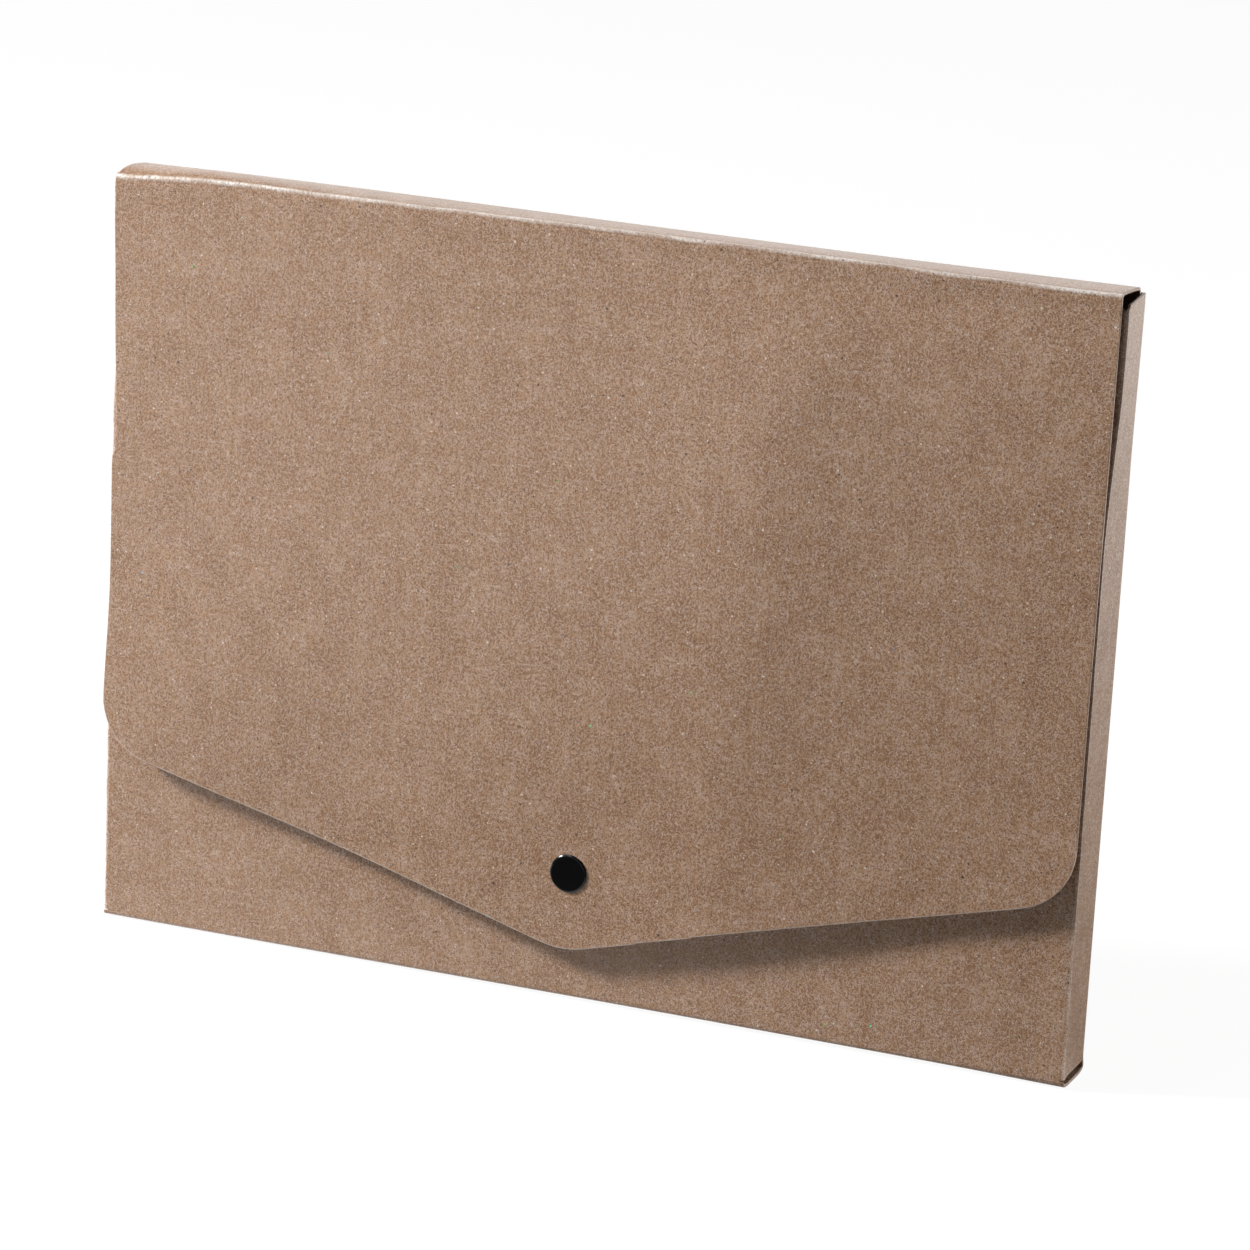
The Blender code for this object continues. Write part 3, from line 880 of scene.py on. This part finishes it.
# %% Outline of the flap
FLAP_POINT_RISE = 43.6 * MM
FLAP_CORNER = 21.0 * MM
FLAP_TIP = 28.0 * MM
EDGE_ARCH = 0.7 * MM
NICKS = (24.6 * MM, 43.0 * MM)
NICK = 0.3 * MM
NICK_HALF = 0.4 * MM
NICKS_END = 90 * MM
TIP_CELLS = 6
CORNER_CELLS = 9
SLOPE = math.atan(FLAP_POINT_RISE / LID_SIDE)
SHARP_TIP = FLAP_LOW - FLAP_TIP * (1 / math.cos(SLOPE) - 1)
TIP_HALF = FLAP_TIP * math.sin(SLOPE)
CORNER_X = LID_SIDE - FLAP_CORNER
CORNER_START = CORNER_X + FLAP_CORNER * math.sin(SLOPE)


def flap_edge(x):
    """Height of the flap's lower edge at x."""
    out = np.abs(x)
    slope = SHARP_TIP + math.tan(SLOPE) * out
    tip = SHARP_TIP + FLAP_TIP / math.cos(SLOPE) - np.sqrt(np.clip(FLAP_TIP**2 - out**2, 0, None))
    corner_z = SHARP_TIP + math.tan(SLOPE) * CORNER_X + FLAP_CORNER / math.cos(SLOPE)
    corner = corner_z - np.sqrt(np.clip(FLAP_CORNER**2 - (out - CORNER_X) ** 2, 0, None))
    edge = np.where(out < TIP_HALF, tip, slope)
    edge = np.where(out > CORNER_START, corner, edge)
    arch = EDGE_ARCH * np.sin(np.pi * np.clip(out / CORNER_START, 0, 1)) ** 2
    steps = sum(NICK * ease(x, nick - NICK_HALF, nick + NICK_HALF) for nick in NICKS)
    return edge + arch + steps - len(NICKS) * NICK * ease(x, 0, NICKS_END)


tip_columns = np.linspace(0, TIP_HALF, TIP_CELLS + 1)
slope_columns = np.linspace(TIP_HALF, CORNER_START, round((CORNER_START - TIP_HALF) / PANEL_PITCH) + 1)
corner_columns = CORNER_X + FLAP_CORNER * np.sin(np.linspace(SLOPE, QUARTER, CORNER_CELLS + 1))
nick_columns = [nick + side * NICK_HALF for nick in NICKS for side in (-1, 0, 1)]
half = np.concatenate([tip_columns, slope_columns, corner_columns])
lid_columns = np.unique(np.round(np.concatenate([-half, half, nick_columns]), 7))
print("flap: %d columns, tip at %.1f mm" % (len(lid_columns), FLAP_LOW / MM))

# %% [markdown]
# ## The lid's hinge
# The lid folds on a creased line at the rear. A crease is just card that bends again and again, so
# this strip is its own piece: it meets the pocket at one border and the lid at the other.

# %% Lid hinge
HINGE_CELLS = 14
HINGE_RUB_WIDTH = 0.7 * MM
HINGE_RUB = 0.4
HINGE_RUB_UNEVEN = 0.3

hinge_walk = walk((BACK, TOP - CREASE), QUARTER, [(fold_stops(CREASE, QUARTER, HINGE_CELLS), QUARTER)])
hinge_length = hinge_walk[2][-1]
seam = np.zeros((HINGE_CELLS + 1, len(lid_columns)), bool)
seam[[0, -1]] = True
crest = hump(hinge_walk[2], hinge_length / 2, HINGE_RUB_WIDTH)
worn_and_highlight = np.outer(crest, HINGE_RUB + HINGE_RUB_UNEVEN * ragged(lid_columns, 9 * MM, 5))
hinge_strip = strip(lid_columns, hinge_walk[0], hinge_walk[1], hinge_walk[2] + wrap_length)
hinge = card_sheet("lid_hinge", [make_patch(*hinge_strip, settle_lid, True, worn_and_highlight, seam)])

# %% [markdown]
# ## Lid and flap
# The lid, its front crease and the flap are one sheet. The crease is the most handled line of the
# folder: its crest is rubbed pale, with a painted highlight laid on the rubbing, and a thin broken
# groove runs just below it, so the rows there are close enough together to carry both as real relief.

# %% Lid and flap rows
CREASE_CELLS = 18
FLAP_ROWS = 52
GROOVE_ROWS = np.concatenate([np.arange(0.35, 4.3, 0.35), [4.8, 5.6, 6.6, 8.0, 10.0, 12.5]]) * MM

lid_run = run_stops(BACK - FLAP_FACE - 2 * CREASE, WALL_PITCH)
crease_turn = QUARTER - FLAP_LEAN
crease_run = fold_stops(CREASE, crease_turn, CREASE_CELLS)
lid_walk = walk((BACK - CREASE, TOP), math.pi, [(lid_run, 0), (crease_run, crease_turn), (GROOVE_ROWS, 0)])
upper, upper_looks, upper_far = strip(lid_columns, *lid_walk)

hang_y, hang_z = lid_walk[0][-1]
drop = (hang_z - flap_edge(lid_columns)) / math.cos(FLAP_LEAN)
shares = np.linspace(0, 1, FLAP_ROWS + 1)[1:, None]
fall = np.concatenate([shares * (drop - FINE_STOPS[-1]), drop - FINE_STOPS[-2::-1, None], drop[None]])
columns = np.broadcast_to(lid_columns, fall.shape)
lower = np.stack([columns, hang_y - fall * math.sin(FLAP_LEAN), hang_z - fall * math.cos(FLAP_LEAN)], 2)
lower_looks = np.broadcast_to(upper_looks[-1:], lower.shape)
outer = np.concatenate([upper, lower])
looks = np.concatenate([upper_looks, lower_looks])
far = np.concatenate([-upper_far[:, :, 1], lid_walk[2][-1] + fall])
print("lid and flap: %d rows, %d columns" % far.shape)

# %% Crest and groove of the front crease
CRISP = 0.75
CREST_SHARE = 0.48
CREST_RISE = 0.05 * MM
CREST_WIDTH = 0.5 * MM
# The crest's rub and the pale line along the flap's edge below are rubbed card and painted highlight in one.
CREST_RUB_AND_HIGHLIGHT = 0.9
EDGE_RUB_AND_HIGHLIGHT = 0.6
GROOVE_BELOW = 1.2 * MM
GROOVE_DEPTH = 0.16 * MM
GROOVE_WIDTH = 0.3 * MM

wander = 0.25 * MM * ragged(lid_columns, 13 * MM, 3) + 0.12 * MM * ragged(lid_columns, 4.1 * MM, 4)
crest_line = lid_run[-1] + CREST_SHARE * crease_run[-1] + wander
groove_line = crest_line + GROOVE_BELOW + 0.2 * MM * ragged(lid_columns, 5 * MM, 8)
broken = np.clip(0.6 + 0.6 * ragged(lid_columns, 7 * MM, 9), 0, 1)
crest = hump(far, crest_line, CREST_WIDTH)
groove = hump(far, groove_line, GROOVE_WIDTH) * broken
round_bend = np.clip(far - lid_run[-1], 0, crease_run[-1]) / CREASE
to_corner = CREASE * (1 / np.cos(np.minimum(round_bend, crease_turn - round_bend)) - 1)
relief = CRISP * to_corner + CREST_RISE * crest - GROOVE_DEPTH * groove
outer = outer + looks * relief[:, :, None]
# The crest's pale band is rubbed card with a painted highlight on it.
worn_and_highlight = np.clip(CREST_RUB_AND_HIGHLIGHT * crest * (0.75 + 0.45 * ragged(lid_columns, 6 * MM, 10)), 0, 1)
# The flap's lower edge gets a pale line: partly rubbed fibres, partly a painted highlight of its rounded
# edge.
worn_and_highlight[-1] = np.maximum(worn_and_highlight[-1], EDGE_RUB_AND_HIGHLIGHT)
blank = np.stack([outer[:, :, 0], -(far + hinge_length + wrap_length)], 2)
seam = np.zeros(far.shape, bool)
seam[0] = True
lid_patch = make_patch(outer, looks, blank, settle_lid, True, worn_and_highlight, seam)
lid_flap = card_sheet("lid_and_flap", [lid_patch])

# %% [markdown]
# ## Placing the sheets
# The pocket is attached to an empty that stands for its body. The hinge strip and the lid-and-flap
# sheet keep their places baked into their points, and the solids that all three replace are hidden.

# %% Attach and hide
PANELS = ("back_panel", "bottom_panel", "front_panel")
ENDS = ("left_side_panel", "right_side_panel", "left_glue_tab", "right_glue_tab")

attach(pocket, "pocket")
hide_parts(*PANELS, *ENDS)
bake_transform(hinge)
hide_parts("lid_crease")
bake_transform(lid_flap)
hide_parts("lid_panel", "flap_crease", "closing_flap")

# %% [markdown]
# ## Black plastic
# The snap is moulded in black nylon with a soft gloss. Even a clean moulding isn't mirror-smooth, so
# two sizes of faint unevenness move its roughness and its surface a little.

# %% Black plastic finish
BLACK = (0.0016, 0.0016, 0.0018, 1.0)
BLACK_WORN = (0.0032, 0.0032, 0.0036, 1.0)
SWIRL_PITCH = (1.6, 1.6, 1.6)
DUST_PITCH = (0.25, 0.25, 0.25)


def plastic_finish():
    material, bench = new_finish("black_plastic")
    place = bench.add("ShaderNodeTexCoord", {}, {}, "Object").vector("SCALE", PER_MM)
    swirl = grain(bench, place, SWIRL_PITCH)
    dust = grain(bench, place, DUST_PITCH)
    colour = mixed(bench, swirl, BLACK, BLACK_WORN)
    bump = bench.add("ShaderNodeBump", {}, {"Height": swirl, "Strength": 0.2, "Distance": 0.02 * MM})
    roughness = 0.12 + swirl * 0.04 + dust * 0.03
    sockets = {"Base Color": colour, "Roughness": roughness, "Normal": bump, "Specular IOR Level": 0.24}
    surface(bench, sockets)
    return material


PLASTIC = plastic_finish()
print("black plastic:", len(PLASTIC.node_tree.nodes), "nodes")

# %% [markdown]
# ## Turning a profile
# All four snap pieces are round, so each is one profile spun about its axis. A Screw modifier would do
# it, but a small Geometry Nodes tree also sets the piece in place: a grid has one column per step of
# the turn, each point looks up its profile point by row, and the seam and the poles are merged.

# %% A tree that turns a profile
def new_tree(name, inputs):
    """An empty geometry tree with those inputs, its bench and a wire from each input."""
    tree = bpy.data.node_groups.new(name, "GeometryNodeTree")
    tree.interface.new_socket("Geometry", in_out="OUTPUT", socket_type="NodeSocketGeometry")
    for label, kind in inputs.items():
        tree.interface.new_socket(label, in_out="INPUT", socket_type=kind)
    bench = Bench(tree)
    return tree, bench, bench.add("NodeGroupInput", {}, {}, tuple(inputs))


def close_tree(bench, geometry, material):
    real = bench.add("GeometryNodeRealizeInstances", {}, {"Geometry": geometry})
    smooth = bench.add("GeometryNodeSetShadeSmooth", {}, {"Geometry": real, "Shade Smooth": True})
    done = bench.add("GeometryNodeSetMaterial", {}, {"Geometry": smooth, "Material": material})
    bench.add("NodeGroupOutput", {}, {"Geometry": done})


def turning_tree():
    inputs = {
        "Profile": "NodeSocketGeometry",
        "Steps": "NodeSocketInt",
        "Place": "NodeSocketVector",
        "Tilt": "NodeSocketFloat",
        "Material": "NodeSocketMaterial",
    }
    tree, bench, (profile, steps, place, tilt, material) = new_tree("turned_piece", inputs)
    count = bench.add("GeometryNodeAttributeDomainSize", {"component": "MESH"}, {0: profile}, "Point Count")
    grid = bench.add("GeometryNodeMeshGrid", {}, {"Vertices X": steps + 1, "Vertices Y": count})
    index = bench.add("GeometryNodeInputIndex", {}, {})
    column = ((index + 0.5) / count).math("FLOOR")
    sample = {"Geometry": profile, "Value": bench.add("GeometryNodeInputPosition", {}, {})}
    sample["Index"] = index - column * count
    point = bench.add("GeometryNodeSampleIndex", {"data_type": "FLOAT_VECTOR"}, sample)
    radius, side, height = point.parts()
    angle = column / steps * (2 * math.pi)
    spun = {0: radius * angle.math("COSINE"), 1: radius * angle.math("SINE"), 2: height}
    moved = {"Geometry": grid, "Position": bench.add("ShaderNodeCombineXYZ", {}, spun)}
    turned = bench.add("GeometryNodeSetPosition", {}, moved)
    merged = bench.add("GeometryNodeMergeByDistance", {}, {"Geometry": turned, "Distance": WELD})
    tilted = bench.add("ShaderNodeCombineXYZ", {}, {0: tilt})
    set_down = {"Geometry": merged, "Translation": place, "Rotation": tilted}
    close_tree(bench, bench.add("GeometryNodeTransform", {}, set_down), material)
    return tree


def grown(name, start, tree, values):
    """A plain piece from a mesh and a geometry tree with those input values."""
    holder = new_piece(name + "_start", start)
    modifier = holder.modifiers.new("grow", "NODES")
    modifier.node_group = tree
    for item in tree.interface.items_tree:
        if item.name in values:
            modifier[item.identifier] = values[item.name]
    shown = holder.evaluated_get(bpy.context.evaluated_depsgraph_get())
    mesh = bpy.data.meshes.new_from_object(shown)
    mesh.name = name
    bpy.data.objects.remove(holder)
    mesh.set_sharp_from_angle(angle=SMOOTH_BELOW)
    return new_piece(name, mesh)


TURNING = turning_tree()

# %% [markdown]
# ## The snap
# The cap is a thin disc with a low bead round its face, a bevelled rim and a post through the card. Behind
# the flap the post is riveted into a socket; on the pocket a stud and a backing disc grip the front the
# same way. A profile is written as corners, each with the radius that rounds it.

# %% Profiles with rounded corners
CORNER_STEPS = 6
SNAP_STEPS = 96


def rounded(corners):
    """Points of an open profile; a corner is (radius, height, rounding) in millimetres."""
    points = []
    for i, (r, z, rounding) in enumerate(corners):
        here = np.array((r, z))
        if rounding == 0 or i in (0, len(corners) - 1):
            points.append(here)
            continue
        before = np.array(corners[i - 1][:2]) - here
        after = np.array(corners[i + 1][:2]) - here
        before /= np.linalg.norm(before)
        after /= np.linalg.norm(after)
        half = math.acos(np.clip(before @ after, -1, 1)) / 2
        bisector = (before + after) / np.linalg.norm(before + after)
        centre = here + bisector * rounding / math.sin(half)
        start = here + before * rounding / math.tan(half) - centre
        end = here + after * rounding / math.tan(half) - centre
        turn = math.acos(np.clip(start @ end / rounding**2, -1, 1))
        for t in np.linspace(0, 1, CORNER_STEPS + 1):
            arm = start * math.sin((1 - t) * turn) + end * math.sin(t * turn)
            points.append(centre + arm / math.sin(turn))
    return np.array(points) * MM


def turned_piece(name, corners, place, tilt):
    """A round piece; its profile's +height is turned by tilt from +Z about X."""
    profile = rounded(corners)
    mesh = bpy.data.meshes.new(name + "_profile")
    mesh.from_pydata([(r, 0.0, z) for r, z in profile], [(i, i + 1) for i in range(len(profile) - 1)], [])
    values = {"Steps": SNAP_STEPS, "Place": place, "Tilt": tilt, "Material": PLASTIC}
    piece = grown(name, mesh, TURNING, values)
    measure = bmesh.new()
    measure.from_mesh(piece.data)
    volume = measure.calc_volume(signed=True)
    measure.free()
    print(name, len(piece.data.polygons), "faces, %.1f cubic mm" % (volume / MM**3))
    return piece


# %% Cap, socket, stud and backing
SNAP_OFFSET = 1.0 * MM
SNAP_LIFT = 0.5 * MM
SEAT_GAP = 0.1 * MM
CAP_RADIUS = (cap_high.x - cap_low.x) / 2 / MM
CAP_PROFILE = (
    (0, -0.42, 0), (5.6, -0.42, 0.3), (5.8, -0.46, 0.1), (6.2, -0.17, 0.1), (CAP_RADIUS, -0.06, 0.03),
    (6.15, 0, 0.05), (1.3, 0, 0.1), (1.3, 2.0, 0), (1.9, 2.0, 0.1), (1.9, 2.4, 0.2), (0, 2.4, 0),
)
SOCKET_PROFILE = (
    (1.5, 0, 0), (5.3, 0, 0.3), (5.3, 2.4, 0.5), (3.6, 2.4, 0.4), (3.4, 1.2, 0.1), (3.4, 0.7, 0.2),
    (1.5, 0.7, 0.1), (1.5, 0, 0),
)
STUD_PROFILE = (
    (1.5, 0, 0), (5.2, 0, 0.2), (5.2, 0.8, 0.4), (2.75, 0.8, 0.2), (3.0, 1.5, 0.2), (3.0, 2.1, 0.4),
    (2.1, 2.1, 0.2), (2.1, 0.8, 0.1), (1.5, 0.8, 0.1), (1.5, 0, 0),
)
BACKING_PROFILE = (
    (0, -1.0, 0), (5.5, -1.0, 0.4), (5.5, 0, 0.2), (1.3, 0, 0.1), (1.3, 2.0, 0), (1.9, 2.0, 0.1),
    (1.9, 2.4, 0.2), (0, 2.4, 0),
)


def on_flap(depth):
    """The snap's centre line on the flap, at a depth behind its outer face."""
    y = hang_y - (hang_z - CAP_HEIGHT) * math.tan(FLAP_LEAN)
    return (SNAP_OFFSET, y + depth, CAP_HEIGHT + SNAP_LIFT - depth * math.sin(FLAP_LEAN))


def on_front(depth):
    return (SNAP_OFFSET, FRONT + depth, STUD_HEIGHT + SNAP_LIFT)


snap_pieces = {
    "snap_cap": ("cap", CAP_PROFILE, on_flap(-SEAT_GAP), -QUARTER - FLAP_LEAN, "flap"),
    "snap_socket": ("socket", SOCKET_PROFILE, on_flap(CARD + SEAT_GAP), -QUARTER - FLAP_LEAN, "flap"),
    "snap_stud": ("stud", STUD_PROFILE, on_front(-SEAT_GAP), QUARTER, "pocket"),
    "snap_backing": ("backing", BACKING_PROFILE, on_front(CARD + SEAT_GAP), QUARTER, "pocket"),
}
for node, (name, corners, place, tilt, body) in snap_pieces.items():
    piece = turned_piece(name, corners, place, tilt)
    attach(piece, body)
    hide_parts(node)

# %% [markdown]
# ## Loose fibres
# A knife and a hard fold leave hairs of pulp standing on the card's edges. They are far too many to
# place by hand, so a second tree walks along the edges and sets one short bent hair at each step, with
# its own lean, twist and length. Each edge point carries the direction in which its hairs stand.

# %% A tree that grows hairs along edges
HAIR_THICKNESS = 0.035 * MM
HAIR_SCATTER = (0.2 * MM,) * 3
HAIR_LEAN = (0.9, 0.9, math.pi)
SHORTEST_HAIR = 0.25
FIBRE_DARK = (0.300, 0.190, 0.125, 1.0)
FIBRE_LIGHT = (0.640, 0.530, 0.440, 1.0)
DICE_SOCKETS = {"FLOAT": (2, 1), "FLOAT_VECTOR": (0, 0)}


def fibre_finish():
    material, bench = new_finish("loose_fibre")
    shade = bench.add("ShaderNodeAttribute", {"attribute_name": "shade"}, {}, "Fac")
    colour = mixed(bench, shade, FIBRE_DARK, FIBRE_LIGHT)
    surface(bench, {"Base Color": colour, "Roughness": 0.6 + shade * 0.2, "Specular IOR Level": 0.3})
    return material


def fibre_tree():
    inputs = {
        "Edges": "NodeSocketGeometry",
        "Spacing": "NodeSocketFloat",
        "Length": "NodeSocketFloat",
        "Seed": "NodeSocketInt",
        "Material": "NodeSocketMaterial",
    }
    tree, bench, (edges, spacing, length, seed, material) = new_tree("loose_fibres", inputs)

    def dice(kind, low, high, salt):
        """A random value for each hair, of that kind, between low and high."""
        first, out = DICE_SOCKETS[kind]
        sockets = {first: low, first + 1: high, "Seed": seed + salt}
        return bench.add("FunctionNodeRandomValue", {"data_type": kind}, sockets, out)

    def both_ways(size, salt):
        return dice("FLOAT_VECTOR", tuple(-a for a in size), size, salt)

    lines = bench.add("GeometryNodeMeshToCurve", {}, {"Mesh": edges})
    stops = bench.add("GeometryNodeCurveToPoints", {"mode": "LENGTH"}, {"Curve": lines, "Length": spacing})
    moves = {"Geometry": stops, "Offset": both_ways(HAIR_SCATTER, 1)}
    spread = bench.add("GeometryNodeSetPosition", {}, moves)
    bow = {"Resolution": 4, "Start": (0, 0, -0.2), "Middle": (0.1, 0, 0.5), "End": (0.5, 0.2, 0.8)}
    spine = bench.add("GeometryNodeCurveQuadraticBezier", {}, bow)
    section = {"Resolution": 3, "Radius": HAIR_THICKNESS / MM}
    ring = bench.add("GeometryNodeCurvePrimitiveCircle", {}, section)
    swept = {"Curve": spine, "Profile Curve": ring, "Fill Caps": True}
    hair = bench.add("GeometryNodeCurveToMesh", {}, swept)
    out = bench.add("GeometryNodeInputNamedAttribute", {"data_type": "FLOAT_VECTOR"}, {"Name": "out"})
    upright = bench.add("FunctionNodeAlignRotationToVector", {"axis": "Z"}, {"Vector": out})
    lean = both_ways(HAIR_LEAN, 2)
    turn = bench.add("FunctionNodeRotateRotation", {"rotation_space": "LOCAL"}, {0: upright, 1: lean})
    set_on = {"Points": spread, "Instance": hair, "Rotation": turn}
    set_on["Scale"] = dice("FLOAT", SHORTEST_HAIR, 1.0, 3) * length
    hairs_on = bench.add("GeometryNodeInstanceOnPoints", {}, set_on)
    named = {"Geometry": hairs_on, "Name": "shade", "Value": dice("FLOAT", 0.0, 1.0, 4)}
    per_hair = {"data_type": "FLOAT", "domain": "INSTANCE"}
    shaded = bench.add("GeometryNodeStoreNamedAttribute", per_hair, named)
    close_tree(bench, shaded, material)
    return tree


FIBRE = fibre_finish()
FIBRES = fibre_tree()

# %% Hairs on the flap, the lid and the pocket
HAIR_LENGTH = 0.7 * MM
FLAP_HAIR_SPACING = 0.9 * MM
FOLD_HAIR_SPACING = 0.45 * MM


def edge_mesh(name, lines):
    """A mesh of open lines, each given as its points and the directions that its hairs stand in."""
    mesh = bpy.data.meshes.new(name)
    starts = np.cumsum([0] + [len(points) for points, out in lines])
    links = [(i, i + 1) for a, b in zip(starts, starts[1:]) for i in range(a, b - 1)]
    mesh.from_pydata(np.concatenate([points for points, out in lines]).tolist(), links, [])
    out = np.concatenate([out for points, out in lines])
    mesh.attributes.new("out", "FLOAT_VECTOR", "POINT").data.foreach_set("vector", out.ravel())
    return mesh


def fibre_piece(name, lines, spacing, seed):
    values = {"Spacing": spacing, "Length": HAIR_LENGTH, "Seed": seed, "Material": FIBRE}
    piece = grown(name, edge_mesh(name + "_edges", lines), FIBRES, values)
    print(name, len(piece.data.polygons), "faces")
    return piece


lid_outer = lid_patch["outer"]
crest_row = int(np.argmin(np.abs(lid_walk[2] - np.mean(crest_line))))
sideways = np.zeros((len(lid_outer), 3))
sideways[:, 0] = 1.0
downward = np.zeros((len(lid_columns), 3))
downward[:, 2] = -1.0
flap_lines = [
    (lid_outer[:, 0], -sideways),
    (lid_outer[:, -1], sideways),
    (lid_outer[-1], downward),
    (lid_outer[crest_row], looks[crest_row]),
]
flap_fibres = fibre_piece("flap_fibres", flap_lines, FLAP_HAIR_SPACING, 1)
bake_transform(flap_fibres)
pocket_fibres = fibre_piece("pocket_fibres", fold_crests, FOLD_HAIR_SPACING, 2)
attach(pocket_fibres, "pocket")

# %% [markdown]
# ## Dried glue
# The two glue lines stay as the solids have them, hidden between tab and back. Dried dispersion glue is
# a dull, slightly yellow film with small clouds in it.

# %% Dried glue finish
GLUE_DARK = (0.50, 0.43, 0.30, 1.0)
GLUE_LIGHT = (0.72, 0.67, 0.56, 1.0)
GLUE_PITCH = (2.2, 2.2, 2.2)


def glue_finish():
    material, bench = new_finish("dried_glue")
    place = bench.add("ShaderNodeTexCoord", {}, {}, "Object").vector("SCALE", PER_MM)
    cloud = grain(bench, place, GLUE_PITCH, 3.0)
    colour = mixed(bench, cloud, GLUE_DARK, GLUE_LIGHT)
    bump = bench.add("ShaderNodeBump", {}, {"Height": cloud, "Strength": 0.5, "Distance": 0.05 * MM})
    surface(bench, {"Base Color": colour, "Roughness": 0.35 + cloud * 0.3, "Normal": bump})
    return material


GLUE = glue_finish()
for node in ("left_glue_line", "right_glue_line"):
    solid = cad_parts[node].data
    solid.materials.clear()
    solid.materials.append(GLUE)

# %% [markdown]
# ## The stage
# A plain white sweep and soft lamps, as in a product studio. The key lamp stands far to the upper left,
# so its light rakes over the card and falls off towards the right. A small lamp behind the right
# shoulder lights the end wall, and a weak one above fills the front. To the camera the floor is mostly
# white whatever light falls on it, and the rest of it still takes the folder's shadow. Light that
# bounces meets a grey floor. In reflections the floor shines where a studio's paper would: behind the
# folder, at its left and in a strip before its foot.

# %% Helpers for the stage
def grey(value):
    return (value, value, value, 1.0)


def light_path(bench, ray):
    return bench.add("ShaderNodeLightPath", {}, {}, ray)


def stage_plane(name, corners, material):
    mesh = bpy.data.meshes.new(name)
    mesh.from_pydata(corners, [], [(0, 1, 2, 3)])
    mesh.materials.append(material)
    new_piece(name, mesh)


# %% Floor
FLOOR_HALF = 7.0
FLOOR_LEVEL = -(BASE_SAG + END_SAG)
FLOOR_WHITE = 0.78
SHADED_GREY = 0.5
BOUNCE_GREY = 0.37
DULL_GREY = 0.02
WHITE_STRENGTH = 1.2
SHEEN_STRENGTH = 1.75
BOUNCE_STRENGTH = 4.0
BEHIND = (-0.25, 1.7)
LEFT_NEAR = (-0.09, -0.18)
LEFT_NEAR_SHARE = 0.5
LEFT_FAR = (-0.2, -0.5)
LEFT_FAR_SHARE = 0.4
FOOT_FRONT = (-0.13, -0.05)
FOOT_BACK = (0.03, 0.0)
FOOT_SHARE = 0.45
FOOT_FALL = 1.7

floor_finish, bench = new_finish("white_floor")
white = bench.add("ShaderNodeEmission", {}, {"Strength": WHITE_STRENGTH})
across, along, up = bench.add("ShaderNodeTexCoord", {}, {}, "Object").parts()
to_camera = light_path(bench, "Is Camera Ray")
paper = mixed(bench, to_camera, grey(BOUNCE_GREY), grey(SHADED_GREY))
lit = bench.add("ShaderNodeBsdfDiffuse", {}, {"Color": paper})
seen = bench.add("ShaderNodeMixShader", {}, {0: to_camera * FLOOR_WHITE, 1: lit, 2: white})
behind = soft_step(bench, along, *BEHIND) * (SHEEN_STRENGTH / BOUNCE_STRENGTH)
left = soft_step(bench, across, *LEFT_NEAR) * LEFT_NEAR_SHARE
left = left + soft_step(bench, across, *LEFT_FAR) * LEFT_FAR_SHARE
foot_strip = soft_step(bench, along, *FOOT_FRONT) * soft_step(bench, along, *FOOT_BACK)
foot_strip = foot_strip * (FOOT_SHARE - across * FOOT_FALL).clamped()
bright = behind.math("MAXIMUM", left).math("MAXIMUM", foot_strip)
sheen = mixed(bench, bright, grey(DULL_GREY), grey(1.0))
mirrored = bench.add("ShaderNodeEmission", {}, {"Color": sheen, "Strength": BOUNCE_STRENGTH})
both = bench.add("ShaderNodeMixShader", {}, {0: light_path(bench, "Is Glossy Ray"), 1: seen, 2: mirrored})
bench.add("ShaderNodeOutputMaterial", {}, {"Surface": both})
corners = [(x * FLOOR_HALF, y * FLOOR_HALF, FLOOR_LEVEL) for x, y in ((-1, -1), (1, -1), (1, 1), (-1, 1))]
stage_plane("floor", corners, floor_finish)
print("floor %.2f mm below the base" % (-FLOOR_LEVEL / MM))

# %% Wall and world
WALL_AWAY = 3.2
WALL_TALL = 3.0
WALL_GREY = 0.1
WORLD_STRENGTH = 0.04

wall_finish, bench = new_finish("white_wall")
seen = (light_path(bench, "Is Camera Ray") + light_path(bench, "Is Glossy Ray")).clamped()
white = mixed(bench, seen, grey(WALL_GREY), grey(1.0))
glow = bench.add("ShaderNodeEmission", {}, {"Color": white, "Strength": SHEEN_STRENGTH})
bench.add("ShaderNodeOutputMaterial", {}, {"Surface": glow})
wall_corners = ((-FLOOR_HALF, 0), (FLOOR_HALF, 0), (FLOOR_HALF, WALL_TALL), (-FLOOR_HALF, WALL_TALL))
stage_plane("wall", [(x, WALL_AWAY, z) for x, z in wall_corners], wall_finish)

world = bpy.data.worlds.new("studio")
world.use_nodes = True
bench = Bench(world.node_tree)
strength = WORLD_STRENGTH + (1.0 - WORLD_STRENGTH) * light_path(bench, "Is Camera Ray")
glow = bench.add("ShaderNodeBackground", {}, {"Color": grey(1.0), "Strength": strength})
bench.add("ShaderNodeOutputWorld", {}, {"Surface": glow})
bpy.context.scene.world = world


# %% Lamps
def lamp(name, place, target, width, height, power):
    light = bpy.data.lights.new(name, "AREA")
    light.shape = "ELLIPSE"
    light.size = width
    light.size_y = height
    light.energy = power
    holder = bpy.data.objects.new(name, light)
    way = Vector(target) - Vector(place)
    holder.matrix_world = Matrix.Translation(place) @ way.to_track_quat("-Z", "Y").to_matrix().to_4x4()
    bpy.context.scene.collection.objects.link(holder)
    print(name, "lamp %.2f m away" % way.length)


lamp("key", place=(-1.96, -0.78, 1.45), target=(0.0, 0.0, 0.12), width=0.45, height=0.45, power=106.0)
lamp("fill", place=(0.66, 0.30, 0.15), target=(0.16, 0.0, 0.12), width=0.30, height=0.30, power=2.45)
lamp("top", place=(-0.50, -0.75, 1.10), target=(0.05, 0.0, 0.10), width=0.60, height=0.15, power=1.5)
bpy.context.scene.view_settings.view_transform = "Standard"
